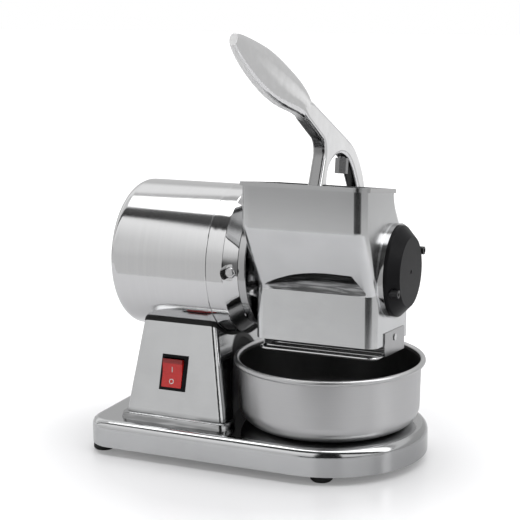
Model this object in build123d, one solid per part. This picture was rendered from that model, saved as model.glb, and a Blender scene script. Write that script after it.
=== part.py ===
from build123d import *
import os
from math import atan2, cos, radians, sin, sqrt, tan

# Electric grater for hard cheese and bread.
# Millimetres. X runs along the motor and drum axis (drum to +X), Y to the back, Z up.
# The origin is on the table, under the middle of the base.

# Fits
running_clearance = 0.04
screw_clearance = 0.05
seat_clearance = 0.03
moving_gap = 0.3
overrun = 1.0

# Bowl
bowl_radius = 84.1
bowl_height = 58.0
bowl_wall = 1.0
bowl_rim_radius = 2.4
bowl_side_taper = 1.5
bowl_bottom_round = 16.0
bowl_lift = 0.2
bowl_offset = 2.4

# Base
base_margin = 2.5
base_height = 23.5
base_wall = 4.0
base_top_thickness = 4.0
base_corner_radius = 25.0
base_edge_radius = 7.5
bottom_plate_thickness = 1.5
bottom_plate_recess = 1.0
wire_hole_radius = 8.0

# Feet
foot_height = 7.5
foot_radius = 9.5
foot_edge = 1.5
foot_left_inset = 11.5
foot_side_inset = 18.0
foot_right_offset = 20.0
foot_neck_radius = 4.5
foot_boss_radius = 8.0
foot_screw_radius = 2.5
foot_screw_head_radius = 4.2
foot_screw_head_height = 2.4
foot_screw_depth = 9.0
foot_head_cover = 2.0

# Motor
can_radius = 66.0
can_length = 96.0
can_wall = 2.5
can_end_radius = 10.0
can_overhang = 18.0
seam_chamfer = 0.5
bell_length = 26.0
bell_cone_length = 10.3
bell_cone_round = 1.5
bell_spigot_length = 6.0
bell_front_wall = 16.0
bell_hub_radius = 26.0
bell_hub_length = 8.0
bell_screw_inset = 5.0
bell_screw_head_radius = 4.8
bell_screw_head_height = 2.8
bell_screw_head_round = 1.9
spot_face_room = 2.4
spot_face_depth = 6.0
shield_thickness = 14.0
core_length = 45.0
core_rim_wall = 4.5
stator_depth = 26.5
winding_length = 9.0
winding_inset = 6.0
air_gap = 0.5
rotor_ring_length = 5.0
rotor_ring_step = 1.0
slot_count = 24
slot_width = 3.6
slot_depth = 14.0
shaft_radius = 10.0
shaft_room = 2.0
shoulder_gap = 1.0
journal_radius = 8.5
output_radius = 8.0
bearing_radius = 20.0
bearing_width = 12.0
bearing_recess = 2.0
bearing_ball_radius = 3.4
bearing_ball_count = 8
seal_radius = 14.0
seal_width = 6.0
seal_recess = 2.0
stud_radius = 2.5
stud_room = 6.5
stud_depth = 5.0
stud_end_gap = 0.5
motor_bolt_radius = 3.0
motor_bolt_spread = 24.0
motor_bolt_inset = 15.0
nut_gap = 1.0

# Column
gasket_thickness = 3.0
column_wall = 3.5
column_depth = 136.0
column_depth_top = 76.0
column_left_inset = 14.5
column_left_taper = 8.9
column_right_taper = 23.1
column_bowl_tuck = 13.3
column_bowl_gap = 1.5
saddle_depth = 30.0
column_corner = 5.5
column_inner_corner = 2.0
plinth_height = 6.2
plinth_ledge = 4.0
plinth_round = 2.9
column_bolt_inset = 12.0
column_bolt_radius = 3.0
column_bolt_end_gap = 2.0
column_boss_radius = 7.0
column_boss_height = 20.0
column_boss_cover = 3.0

# Switch
switch_height = 42.6
switch_shift = -2.2
bezel_width = 24.6
bezel_length = 31.5
bezel_thickness = 2.0
switch_body_width = 21.8
switch_body_length = 29.0
switch_body_depth = 22.0
rocker_width = 19.0
rocker_length = 25.0
rocker_rise = 3.0
rocker_tilt = 8.0
rocker_depth = 5.0
rocker_draft = 1.0
rocker_pin_radius = 1.5
rocker_pin_length = 0.9
terminal_width = 6.3
terminal_spread = 4.4
terminal_thickness = 0.8
terminal_length = 9.0

# Electrics in the column
capacitor_radius = 16.0
capacitor_height = 52.0
capacitor_edge = 2.0
capacitor_stud_radius = 4.0
capacitor_stud_length = 12.0
capacitor_nut_width = 13.0
capacitor_nut_height = 6.0
block_length = 30.0
block_width = 16.0
block_height = 14.0
insert_radius = 3.5
insert_count = 3
insert_recess = 1.0
gland_bore_radius = 3.75
gland_thread_radius = 7.9
gland_thread_spare = 2.0
gland_hex_width = 19.0
gland_hex_height = 6.0
gland_dome_inset = 1.0
gland_dome_height = 11.0
gland_nut_height = 5.0
gland_height = 24.0

# Hopper casting
hopper_width = 110.0
hopper_wall = 4.0
flange_radius_inset = 8.5
flange_thickness = 7.0
flange_edge = 0.6
spigot_land = 5.5
spigot_wall = 8.0
spigot_length = 7.0
neck_length = 2.0
neck_step = 2.0
shaft_hole_room = 4.0
mouth_front = 72.0
mouth_back = 8.0
mouth_front_height = 80.5
mouth_tilt = 8.3
mouth_bend_height = 41.5
lip_width = 2.0
lip_height = 3.5
chute_front = 44.0
chute_back = 46.5
chute_top = 14.7
chute_top_inside = 21.0
chute_depth = 59.0
chute_tilt = 5.0
ledge_radius = 1.0
back_wall_height = 9.0
back_slope_bottom = 8.5
back_bend_share = 0.9
hopper_corner = 9.0
hopper_bend_radius = 12.0
boss_radius = 40.5
boss_height = 5.0
flange_bolt_inset = 7.5
flange_bolt_angle = 21.0
flange_bolt_radius = 2.5
flange_bolt_depth = 12.0
flange_head_radius = 4.25
flange_head_height = 4.6
flange_socket_width = 4.0
flange_socket_depth = 2.5
scallop_radius = 6.5
scallop_floor = 0.8

# Scoop across the front of the hopper: its axis leans out and up to the right
scoop_left_inset = 11.0
scoop_right_inset = 3.0
scoop_rise_left = 3.0
scoop_rise_right = 11.0
scoop_out_left = 8.0
scoop_out_right = 12.4
scoop_end_inset = 5.4
scoop_end_lean = 33.0
# Share of the scoop's length, radius there
scoop_profile = ((0.0, 8.0), (0.068, 9.8), (0.15, 11.8), (0.298, 15.2), (0.417, 16.8), (0.6, 17.5),
                 (0.775, 16.6), (1.0, 16.2))

# Drum and end cap
drum_radius = 30.0
drum_gap = 3.5
drum_end_gap = 2.0
drum_sheet = 1.5
hub_thickness = 8.0
hub_end_wall = 1.0
shaft_end_gap = 1.0
drive_hub_length = 22.0
drive_hub_radius = 14.0
journal_end_radius = 7.0
journal_end_length = 15.0
cap_hole_margin = 1.5
cap_radius = 39.0
cap_face_radius = 30.0
cap_edge = 0.8
cap_rim_height = 2.5
cap_cone_height = 8.7
cap_vent_radius = 1.7
cap_bush_seat = 4.5
bush_wall = 3.0
bush_length = 12.0
cap_screw_circle = 36.0
cap_screw_angle = 20.0
cap_screw_radius = 2.0
cap_screw_seat = 5.5
cap_screw_head_radius = 3.5
cap_screw_head_height = 6.4
cap_screw_head_room = 0.5
cap_screw_socket_width = 3.2
cap_screw_socket_depth = 2.0
cap_screw_end_wall = 1.0

# Lever, presser and hinge
hinge_y_offset = 49.0
hinge_height = 34.5
hinge_pin_radius = 5.0
ear_radius = 10.0
ear_thickness = 8.0
lever_thickness = 12.5
lever_edge = 3.5
lever_corner = 4.0
lever_bend = 13.0
leg_width = 16.0
pin_overhang = 3.0
clip_thickness = 1.0
clip_width = 2.6
clip_groove_radius = 4.0
presser_clearance = 2.0
presser_side_clearance = 1.5
presser_swing_gap = 2.0
presser_drum_gap = 6.0
presser_top = 54.0
presser_floor = 6.0
presser_rib = 4.0
presser_ear_wall = 5.0
presser_ear_radius = 7.5
presser_bolt_radius = 3.0
presser_bolt_drop = 9.0
presser_bolt_spare = 2.0
stop_bolt_radius = 3.0
stop_bolt_head = 10.5
stop_nut_height = 3.0
stop_bolt_depth = 9.0
stop_bolt_tilt = 8.0
stop_end_gap = 1.0
stop_seat_radius = 6.0
stop_gap = 0.2
rest_pad_drop = 8.0
rest_pad_half = 4.0
rest_nose_reach = 14.0
rest_nose_margin = 1.0

# Guard under the outlet
guard_wire_radius = 1.5
guard_front_y = 38.0
guard_back_y = 30.0
guard_drop = 9.5
guard_bend_radius = 9.0
guard_rod_count = 4
guard_bowl_gap = 3.8
tab_thickness = 1.0
tab_front_y = 21.0
tab_rise = 10.5
tab_drop = 10.0
rivet_rise = 4.1
rivet_radius = 1.6
rivet_end_wall = 1.0
rivet_head_radius = 3.0
rivet_head_height = 0.7

# Hex sizes shared by the M6 fasteners
hex_width_m6 = 10.0
hex_height_m6 = 4.0
nut_height_m6 = 5.0

# Places worked out from the sizes
base_width = 2 * (bowl_radius + base_margin)
base_top = foot_height + base_height
chute_slope = tan(radians(chute_tilt))
guard_low = chute_depth + (chute_front + guard_back_y) * chute_slope + guard_drop + guard_wire_radius
axis_height = base_top + bowl_lift + bowl_height + guard_bowl_gap + guard_low
base_length = (can_overhang + can_length + bell_length + flange_thickness + neck_length
               + hopper_width / 2 - bowl_offset + base_width / 2)
base_left = -base_length / 2
base_end_x = base_length / 2 - base_width / 2
can_left = base_left + can_overhang
seam_x = can_left + can_length
flange_x = seam_x + bell_length
neck_x = flange_x + flange_thickness
hopper_left = neck_x + neck_length
hopper_right = hopper_left + hopper_width
hopper_mid = (hopper_left + hopper_right) / 2
inner_left = hopper_left + hopper_wall
inner_right = hopper_right - hopper_wall
can_inner = can_radius - can_wall
core_radius = can_inner - stud_room
rotor_radius = core_radius - stator_depth - air_gap
cap_x = hopper_right + boss_height
shield_left = can_left + can_wall
shield_right = shield_left + shield_thickness
core_left = (shield_right + seam_x - core_length) / 2
core_right = core_left + core_length
wall_left = flange_x - bell_front_wall
front_bearing_left = wall_left - bell_hub_length + bearing_recess
rear_bearing_left = shield_right - bearing_width
seal_left = flange_x - seal_recess - seal_width
flange_radius = can_radius - flange_radius_inset
flange_bolt_circle = flange_radius - flange_bolt_inset
spigot_radius = flange_bolt_circle - flange_bolt_radius - spigot_land
neck_radius = spigot_radius + neck_step
bell_screw_x = flange_x - bell_screw_inset
spot_face_radius = bell_screw_head_radius + spot_face_room
drum_left = inner_left + drum_end_gap
drum_right = inner_right - drum_end_gap
chamber_radius = drum_radius + drum_gap
hinge_y = mouth_back + hinge_y_offset
hinge_z = axis_height + hinge_height
cap_hole_radius = drum_radius + cap_hole_margin
bowl_x = base_end_x
bowl_body_radius = bowl_radius - 2 * bowl_rim_radius + bowl_wall
column_left = can_left + column_left_inset
column_right = bowl_x - bowl_radius + column_bowl_tuck
column_top_z = axis_height - can_radius + saddle_depth
column_lean = atan2((column_depth - column_depth_top) / 2, column_top_z - base_top)
saddle_radius = can_radius + gasket_thickness
motor_axis = Axis((0, 0, axis_height), (1, 0, 0))


# Small makers used by every piece
def bar(radius, start, end):
    run = Vector(*end) - Vector(*start)
    return extrude(Plane(origin=start, z_dir=run) * Circle(radius), run.length)


def tube(outer, inner, start, end):
    return bar(outer, start, end) - bar(inner, start, end)


def shaft_bar(radius, x_start, x_end):
    return bar(radius, (x_start, 0, axis_height), (x_end, 0, axis_height))


def shaft_tube(outer, inner, x_start, x_end):
    return shaft_bar(outer, x_start, x_end) - shaft_bar(inner, x_start, x_end)


def hex_bar(width, start, end):
    run = Vector(*end) - Vector(*start)
    outline = RegularPolygon(width / 2, 6, major_radius=False)
    return extrude(Plane(origin=start, z_dir=run) * outline, run.length)


def on_circle(angle, radius, x=0.0):
    """Point at an angle about the motor axis: 0 faces the front, 90 faces up."""
    return (x, -radius * cos(radians(angle)), axis_height + radius * sin(radians(angle)))


def side_plane(x):
    """Plane across X: its own x is Y and its own y is the height above the motor axis."""
    return Plane(origin=(x, 0, axis_height), x_dir=(0, 1, 0), z_dir=(1, 0, 0))


# Plane along the motor axis, for shapes turned about it: its own y is the radius.
axis_plane = Plane(origin=(0, 0, axis_height), x_dir=(1, 0, 0), z_dir=(0, -1, 0))


def side_slab(outline, x_start, x_end):
    return extrude(side_plane(x_start) * outline, x_end - x_start)


def outline_of(*points):
    return make_face(Polyline(*points, close=True))


def bend(outline, point, radius):
    """The outline with its corner at a point rounded."""
    corner = outline.vertices().sort_by_distance(Vertex(*point, 0))[0]
    return fillet(corner, radius)


def group(solids):
    return Compound(children=list(solids))


def ring_edges(part, x, radius, reach=0.05):
    return [edge for edge in part.edges().filter_by(GeomType.CIRCLE)
            if abs(edge.arc_center.X - x) < reach and abs(edge.radius - radius) < reach]


# Base, feet and bottom plate
def base_outline(inset=0.0):
    half = base_width / 2 - inset
    left = base_left + inset
    block = Pos((left + base_end_x) / 2, 0) * Rectangle(base_end_x - left, 2 * half)
    corners = block.vertices().group_by(Axis.X)[0]
    block = fillet(corners, base_corner_radius - inset)
    return block + Pos(base_end_x, 0) * Circle(half)


def foot_places():
    left = base_left + foot_left_inset
    side = base_width / 2 - foot_side_inset
    right = base_end_x + foot_right_offset
    return [(x, y) for x in (left, right) for y in (-side, side)]


plate_bottom = foot_height + bottom_plate_recess
plate_top = plate_bottom + bottom_plate_thickness
base_ceiling = base_top - base_top_thickness


def column_bolt_places():
    y = column_depth / 2 - column_bolt_inset
    return [(x, side) for x in (column_left + column_bolt_inset, column_right - column_bolt_inset)
            for side in (-y, y)]


column_mid_x = (column_left + column_right) / 2
capacitor_place = (column_mid_x - capacitor_radius - block_width / 4, column_depth_top / 4)
block_place = (column_mid_x + block_length / 2, column_depth_top / 4)


def make_base():
    body = extrude(Pos(0, 0, foot_height) * base_outline(), base_height)
    body = fillet(body.faces().sort_by(Axis.Z)[-1].edges(), base_edge_radius)
    body -= extrude(Pos(0, 0, foot_height) * base_outline(base_wall), base_height - base_top_thickness)
    for x, y in foot_places():
        body += bar(foot_boss_radius, (x, y, plate_top), (x, y, base_top - base_top_thickness / 2))
    for x, y in foot_places():
        body -= bar(foot_screw_radius + screw_clearance, (x, y, plate_top),
                    (x, y, plate_top + foot_screw_depth + overrun))
    for x, y in column_bolt_places():
        body -= bar(column_bolt_radius + screw_clearance, (x, y, base_ceiling - overrun),
                    (x, y, base_top + overrun))
    stud_hole = capacitor_stud_radius + screw_clearance
    body -= bar(stud_hole, (*capacitor_place, base_ceiling - overrun), (*capacitor_place, base_top + overrun))
    body -= bar(wire_hole_radius, (column_mid_x, -column_depth_top / 4, base_ceiling - overrun),
                (column_mid_x, -column_depth_top / 4, base_top + overrun))
    return body


def make_bottom_plate():
    plate = extrude(Pos(0, 0, plate_bottom) * base_outline(base_wall + moving_gap), bottom_plate_thickness)
    for x, y in foot_places():
        plate -= bar(foot_screw_radius + screw_clearance, (x, y, plate_bottom - overrun),
                     (x, y, plate_top + overrun))
    return plate


def make_feet():
    feet = []
    for x, y in foot_places():
        foot = bar(foot_radius, (x, y, 0), (x, y, foot_height))
        foot = chamfer(foot.faces().sort_by(Axis.Z)[0].edges(), foot_edge)
        foot += bar(foot_neck_radius, (x, y, foot_height), (x, y, plate_bottom))
        foot -= bar(foot_screw_radius + screw_clearance, (x, y, 0), (x, y, plate_bottom))
        foot -= bar(foot_screw_head_radius + moving_gap, (x, y, 0),
                    (x, y, foot_head_cover + foot_screw_head_height))
        feet.append(foot)
    return group(feet)


def make_foot_screws():
    seat = foot_head_cover + foot_screw_head_height
    screws = []
    for x, y in foot_places():
        head = bar(foot_screw_head_radius, (x, y, foot_head_cover), (x, y, seat))
        screws.append(head + bar(foot_screw_radius, (x, y, seat), (x, y, plate_top + foot_screw_depth)))
    return group(screws)


# Column, its gasket and its bolts
def column_section(height, grow=0.0):
    share = (height - base_top) / (column_top_z - base_top)
    left = column_left + share * column_left_taper - grow
    right = column_right - share * column_right_taper + grow
    depth = column_depth - share * (column_depth - column_depth_top) + 2 * grow
    corner = max(column_corner + grow, column_inner_corner)
    return Pos((left + right) / 2, 0, height) * RectangleRounded(right - left, depth, corner)


def column_block(bottom, top, grow_bottom=0.0, grow_top=0.0):
    return loft([column_section(bottom, grow_bottom), column_section(top, grow_top)])


def face_plane(side, height, x):
    """Plane on the column's front (side -1) or back (side 1), its own y up the slope."""
    y = side * (column_depth / 2 - height * tan(column_lean))
    normal = (0, side * cos(column_lean), sin(column_lean))
    return Plane(origin=(x, y, base_top + height), x_dir=(-side, 0, 0), z_dir=normal)


def column_mid_at(height):
    share = height / (column_top_z - base_top)
    left = column_left + share * column_left_taper
    right = column_right - share * column_right_taper
    return (left + right) / 2


switch_plane = face_plane(-1, switch_height, column_mid_at(switch_height) + switch_shift)
gland_plane = face_plane(1, gland_height, column_mid_at(gland_height))


def plane_bar(plane, radius, low, high):
    return bar(radius, plane.from_local_coords((0, 0, low)), plane.from_local_coords((0, 0, high)))


def plane_box(plane, width, length, low, high):
    return extrude(plane.offset(low) * Rectangle(width, length), high - low)


def motor_bolt_lines():
    """Angle and x of each bolt that holds the can on the column, clear of the bell's spigot."""
    share = (axis_height - saddle_radius - base_top) / (column_top_z - base_top)
    left = column_left + share * column_left_taper + motor_bolt_inset
    spigot_side = seam_x - bell_spigot_length - nut_corner - nut_gap
    right = min(column_right - share * column_right_taper - motor_bolt_inset, spigot_side)
    return [(270 + turn, x) for x in (left, right) for turn in (-motor_bolt_spread, motor_bolt_spread)]


def motor_bolt_bars(radius, low, high):
    return [bar(radius, on_circle(angle, low, x), on_circle(angle, high, x))
            for angle, x in motor_bolt_lines()]


column_hole_top = base_top + column_boss_height - column_boss_cover


def bowl_notch(grow=0.0):
    """Hollow in the column's right side that leaves the bowl free."""
    radius = bowl_radius + column_bowl_gap + grow
    return bar(radius, (bowl_x, 0, base_top - overrun), (bowl_x, 0, column_top_z))


def make_column():
    bead = column_block(base_top, base_top + plinth_height, plinth_ledge, plinth_ledge)
    bead = fillet(bead.faces().sort_by(Axis.Z)[-1].edges(), plinth_round)
    body = column_block(base_top, column_top_z) + bead - bowl_notch()
    body -= shaft_bar(saddle_radius, base_left, base_length)
    room = column_block(base_top, column_top_z, -column_wall, -column_wall) - bowl_notch(column_wall)
    room -= shaft_bar(saddle_radius + column_wall, base_left, base_length)
    body -= room
    for x, y in column_bolt_places():
        post = bar(column_boss_radius, (x, y, base_top), (x, y, base_top + column_boss_height))
        body += post & column_block(base_top, column_top_z)
    for x, y in column_bolt_places():
        body -= bar(column_bolt_radius + screw_clearance, (x, y, base_top), (x, y, column_hole_top))
    for hole in motor_bolt_bars(motor_bolt_radius + screw_clearance, can_radius,
                                saddle_radius + 2 * column_wall):
        body -= hole
    reach = 3 * column_wall
    body -= plane_box(switch_plane, switch_body_width + 2 * seat_clearance,
                      switch_body_length + 2 * seat_clearance, -reach, reach)
    body -= plane_bar(gland_plane, gland_thread_radius + screw_clearance, -reach, reach)
    return body


def make_gasket():
    pad = column_block(base_top, axis_height)
    pad &= shaft_tube(saddle_radius - seat_clearance, can_radius + seat_clearance, base_left, base_length)
    for hole in motor_bolt_bars(motor_bolt_radius + screw_clearance, can_radius - can_wall,
                                saddle_radius + can_wall):
        pad -= hole
    return pad.solids().sort_by(Axis.Z)[0]


def make_column_bolts():
    bolts = []
    for x, y in column_bolt_places():
        head = hex_bar(hex_width_m6, (x, y, base_ceiling - hex_height_m6), (x, y, base_ceiling))
        bolts.append(head + bar(column_bolt_radius, (x, y, base_ceiling),
                                (x, y, column_hole_top - column_bolt_end_gap)))
    return group(bolts)


nut_corner = hex_width_m6 / sqrt(3)
nut_seat = sqrt(can_inner ** 2 - nut_corner ** 2) - seat_clearance
nut_low = core_radius + nut_gap


def make_motor_bolts():
    seat = saddle_radius + column_wall
    bolts = []
    for angle, x in motor_bolt_lines():
        head = hex_bar(hex_width_m6, on_circle(angle, seat, x), on_circle(angle, seat + hex_height_m6, x))
        bolts.append(head + bar(motor_bolt_radius, on_circle(angle, nut_low, x), on_circle(angle, seat, x)))
    return group(bolts)


def make_motor_nuts():
    nuts = []
    for angle, x in motor_bolt_lines():
        nut = hex_bar(hex_width_m6, on_circle(angle, nut_low, x), on_circle(angle, nut_seat, x))
        nuts.append(nut - bar(motor_bolt_radius + screw_clearance, on_circle(angle, core_radius, x),
                              on_circle(angle, can_radius, x)))
    return group(nuts)


# Rocker switch
window_width = rocker_width + 2 * moving_gap
window_length = rocker_length + 4 * moving_gap


def make_switch_frame():
    bezel = plane_box(switch_plane, bezel_width, bezel_length, 0, bezel_thickness)
    bezel = chamfer(bezel.faces().sort_by(Axis(switch_plane.origin, switch_plane.z_dir))[-1].edges(),
                    bezel_thickness / 4)
    frame = bezel + plane_box(switch_plane, switch_body_width, switch_body_length, -switch_body_depth, 0)
    frame -= plane_box(switch_plane, window_width, window_length, -rocker_length / 2,
                       bezel_thickness + overrun)
    seat = rocker_pin_radius + running_clearance
    reach = rocker_width / 2 + rocker_pin_length + running_clearance
    middle = switch_plane.origin
    frame -= bar(seat, (middle.X - reach, middle.Y, middle.Z), (middle.X + reach, middle.Y, middle.Z))
    return frame


def make_rocker():
    half = rocker_length / 2
    end_rise = rocker_rise + half * tan(radians(rocker_tilt))
    outline = outline_of((-half, end_rise), (0, rocker_rise), (half, end_rise),
                         (half - rocker_draft, -rocker_depth), (rocker_draft - half, -rocker_depth))
    outline = Rot(0, 0, rocker_tilt) * outline
    side = Plane(origin=switch_plane.origin - Vector(rocker_width / 2, 0, 0), x_dir=switch_plane.y_dir,
                 z_dir=(1, 0, 0))
    rocker = extrude(side * outline, rocker_width)
    middle = switch_plane.origin
    reach = rocker_width / 2 + rocker_pin_length
    return rocker + bar(rocker_pin_radius, (middle.X - reach, middle.Y, middle.Z),
                        (middle.X + reach, middle.Y, middle.Z))


def make_switch_terminals():
    tabs = []
    for row in (-1, 1):
        for side in (-1, 1):
            place = switch_plane * Pos(side * terminal_spread, row * switch_body_length / 4)
            tab = Box(terminal_width, terminal_thickness, terminal_length,
                      align=(Align.CENTER, Align.CENTER, Align.MAX))
            tabs.append(place * Pos(0, 0, -switch_body_depth) * tab)
    return group(tabs)


# Electrics inside the column, and the cable gland at its back
def make_capacitor():
    x, y = capacitor_place
    can = bar(capacitor_radius, (x, y, base_top), (x, y, base_top + capacitor_height))
    can = fillet(can.faces().sort_by(Axis.Z)[-1].edges(), capacitor_edge)
    return can + bar(capacitor_stud_radius, (x, y, base_top - capacitor_stud_length), (x, y, base_top))


def make_capacitor_nut():
    x, y = capacitor_place
    nut = hex_bar(capacitor_nut_width, (x, y, base_ceiling - capacitor_nut_height), (x, y, base_ceiling))
    return nut - bar(capacitor_stud_radius + screw_clearance, (x, y, 0), (x, y, base_top))


def insert_places():
    step = block_length / insert_count
    return [(block_place[0] + (i - (insert_count - 1) / 2) * step, block_place[1])
            for i in range(insert_count)]


def make_terminal_block():
    x, y = block_place
    block = Pos(x, y, base_top) * Box(block_length, block_width, block_height,
                                      align=(Align.CENTER, Align.CENTER, Align.MIN))
    for px, py in insert_places():
        block -= bar(insert_radius, (px, py, base_top + block_height / 3), (px, py, base_top + block_height))
    return block


def make_terminal_inserts():
    low = base_top + block_height / 3
    high = base_top + block_height - insert_recess
    return group([bar(insert_radius - seat_clearance, (x, y, low), (x, y, high)) for x, y in insert_places()])


def make_gland():
    hex_outline = RegularPolygon(gland_hex_width / 2, 6, major_radius=False)
    gland = extrude(gland_plane * hex_outline, gland_hex_height)
    gland += plane_bar(gland_plane, gland_thread_radius,
                       -column_wall - gland_nut_height - gland_thread_spare, 0)
    dome_top = gland_hex_height + gland_dome_height
    dome = plane_bar(gland_plane, gland_hex_width / 2 - gland_dome_inset, gland_hex_height, dome_top)
    outward = Axis(gland_plane.origin, gland_plane.z_dir)
    gland += fillet(dome.faces().sort_by(outward)[-1].edges(), gland_dome_height / 3)
    return gland - plane_bar(gland_plane, gland_bore_radius, -4 * gland_nut_height, 2 * dome_top)


def make_gland_nut():
    seat = -column_wall / cos(column_lean) - seat_clearance
    outline = RegularPolygon(gland_hex_width / 2, 6, major_radius=False)
    nut = extrude(gland_plane.offset(seat - gland_nut_height) * outline, gland_nut_height)
    return nut - plane_bar(gland_plane, gland_thread_radius + screw_clearance, -4 * gland_nut_height,
                           gland_nut_height)


# Motor
stud_circle = (core_radius + can_inner) / 2
stud_angles = (30, 150, 270)
bell_screw_angles = (0, 120, 240)
flange_bolt_angles = (-flange_bolt_angle, 180 - flange_bolt_angle, 180 + flange_bolt_angle)


def make_can():
    outer = shaft_bar(can_radius, can_left, seam_x)
    outer = fillet(ring_edges(outer, can_left, can_radius), can_end_radius)
    outer = chamfer(ring_edges(outer, seam_x, can_radius), seam_chamfer)
    inner = shaft_bar(can_inner, shield_left, seam_x)
    inner = fillet(ring_edges(inner, shield_left, can_inner), can_end_radius - can_wall)
    can = outer - inner
    for hole in motor_bolt_bars(motor_bolt_radius + screw_clearance, can_inner - can_wall,
                                can_radius + can_wall):
        can -= hole
    return can


def make_shield():
    plug = can_inner - seat_clearance
    shield = shaft_bar(plug, shield_left, shield_right)
    shield = fillet(ring_edges(shield, shield_left, plug), can_end_radius - can_wall / 2)
    shield += shaft_tube(core_radius, core_radius - core_rim_wall, shield_right, core_left)
    shield -= shaft_bar(bearing_radius + seat_clearance, rear_bearing_left, core_left)
    for angle in stud_angles:
        shield -= bar(stud_radius + screw_clearance, on_circle(angle, stud_circle, shield_right - stud_depth),
                      on_circle(angle, stud_circle, shield_right))
    return shield


def make_bell():
    plug = can_inner - seat_clearance
    shoulder = (flange_x - bell_cone_length, can_radius)
    outline = outline_of((seam_x, 0), (seam_x, can_radius - seam_chamfer),
                         (seam_x + seam_chamfer, can_radius), shoulder,
                         (flange_x, flange_radius), (flange_x, 0))
    bell = revolve(axis_plane * bend(outline, shoulder, bell_cone_round), motor_axis)
    bell += shaft_bar(plug, seam_x - bell_spigot_length, seam_x)
    bell += shaft_bar(core_radius, core_right, seam_x)
    bell -= shaft_bar(core_radius - core_rim_wall, core_right, wall_left)
    bell += shaft_bar(bell_hub_radius, wall_left - bell_hub_length, wall_left)
    bell -= shaft_bar(bearing_radius + seat_clearance, wall_left - bell_hub_length,
                      front_bearing_left + bearing_width)
    bell -= shaft_bar(journal_radius + shaft_room, wall_left, flange_x)
    bell -= shaft_bar(seal_radius + seat_clearance, seal_left, flange_x)
    pocket = flange_x - spigot_length - seat_clearance
    bell -= shaft_tube(spigot_radius + seat_clearance, spigot_radius - spigot_wall - seat_clearance, pocket,
                       flange_x)
    for angle in flange_bolt_angles:
        bell -= bar(flange_bolt_radius + screw_clearance,
                    on_circle(angle, flange_bolt_circle, flange_x - flange_bolt_depth - overrun),
                    on_circle(angle, flange_bolt_circle, flange_x))
    for angle in bell_screw_angles:
        bell -= bar(spot_face_radius, on_circle(angle, can_radius - spot_face_depth, bell_screw_x),
                    on_circle(angle, can_radius + overrun, bell_screw_x))
        bell -= bar(motor_bolt_radius + screw_clearance, on_circle(angle, spigot_radius, bell_screw_x),
                    on_circle(angle, can_radius, bell_screw_x))
    for angle in stud_angles:
        bell -= bar(stud_radius + screw_clearance, on_circle(angle, stud_circle, seam_x - bell_spigot_length),
                    on_circle(angle, stud_circle, seam_x + stud_radius))
    return bell


def make_bell_screws():
    seat = can_radius - spot_face_depth
    screws = []
    for angle in bell_screw_angles:
        head = bar(bell_screw_head_radius, on_circle(angle, seat, bell_screw_x),
                   on_circle(angle, seat + bell_screw_head_height, bell_screw_x))
        rim = head.edges().filter_by(GeomType.CIRCLE).sort_by(
            lambda edge: abs(edge.arc_center.Y) + abs(edge.arc_center.Z - axis_height))[-1]
        head = fillet(rim, bell_screw_head_round)
        low = on_circle(angle, spigot_radius + 2 * seat_clearance, bell_screw_x)
        screws.append(head + bar(motor_bolt_radius, low, on_circle(angle, seat, bell_screw_x)))
    return group(screws)


def make_stator_core():
    bore = rotor_radius + air_gap
    slot = Pos(bore + slot_depth / 2 - overrun) * Rectangle(slot_depth, slot_width)
    sheet = Circle(core_radius) - Circle(bore)
    for i in range(slot_count):
        sheet -= Rot(0, 0, i * 360 / slot_count) * slot
    return side_slab(sheet, core_left, core_right)


def make_windings():
    outer = core_radius - core_rim_wall - winding_inset / 3
    inner = rotor_radius + winding_inset
    rings = []
    for start, end in ((core_left - winding_length, core_left), (core_right, core_right + winding_length)):
        ring = shaft_tube(outer, inner, start, end)
        far = start if start < core_left else end
        rings.append(fillet(ring_edges(ring, far, outer) + ring_edges(ring, far, inner), winding_length / 3))
    return group(rings)


def make_rotor():
    rotor = shaft_bar(rotor_radius, core_left, core_right)
    ring_outer = rotor_radius - rotor_ring_step
    rotor += shaft_bar(ring_outer, core_left - rotor_ring_length, core_right + rotor_ring_length)
    return rotor - shaft_bar(shaft_radius + seat_clearance, core_left - winding_length,
                             core_right + winding_length)


def make_motor_shaft():
    tip = drum_left + drive_hub_length - hub_end_wall - shaft_end_gap
    shaft = shaft_bar(journal_radius, rear_bearing_left, shield_right)
    shaft += shaft_bar(shaft_radius, shield_right + shoulder_gap, front_bearing_left - shoulder_gap)
    shaft += shaft_bar(journal_radius, shield_right, front_bearing_left + bearing_width)
    shaft += shaft_bar(output_radius, front_bearing_left + bearing_width, tip)
    return shaft


ball_circle = (journal_radius + bearing_radius) / 2
bearing_starts = (rear_bearing_left, front_bearing_left)
race_groove = bearing_ball_radius + running_clearance


def groove_ring(x):
    circle = Plane(origin=(x, 0, axis_height + ball_circle), z_dir=(0, 1, 0)) * Circle(race_groove)
    return revolve(circle, motor_axis)


def make_bearing_rings(outer, inner):
    rings = []
    for start in bearing_starts:
        ring = shaft_tube(outer, inner, start, start + bearing_width)
        rings.append(ring - groove_ring(start + bearing_width / 2))
    return group(rings)


def make_outer_rings():
    return make_bearing_rings(bearing_radius, ball_circle + bearing_ball_radius / 2)


def make_inner_rings():
    return make_bearing_rings(ball_circle - bearing_ball_radius / 2, journal_radius + seat_clearance)


def make_balls():
    balls = []
    for start in bearing_starts:
        for i in range(bearing_ball_count):
            place = on_circle(i * 360 / bearing_ball_count, ball_circle, start + bearing_width / 2)
            balls.append(Pos(*place) * Sphere(bearing_ball_radius))
    return group(balls)


def make_seal():
    return shaft_tube(seal_radius, output_radius + running_clearance, seal_left, seal_left + seal_width)


def make_studs():
    left = shield_right - stud_depth + stud_end_gap
    right = seam_x + stud_radius - stud_end_gap
    return group([bar(stud_radius, on_circle(angle, stud_circle, left), on_circle(angle, stud_circle, right))
                  for angle in stud_angles])


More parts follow.
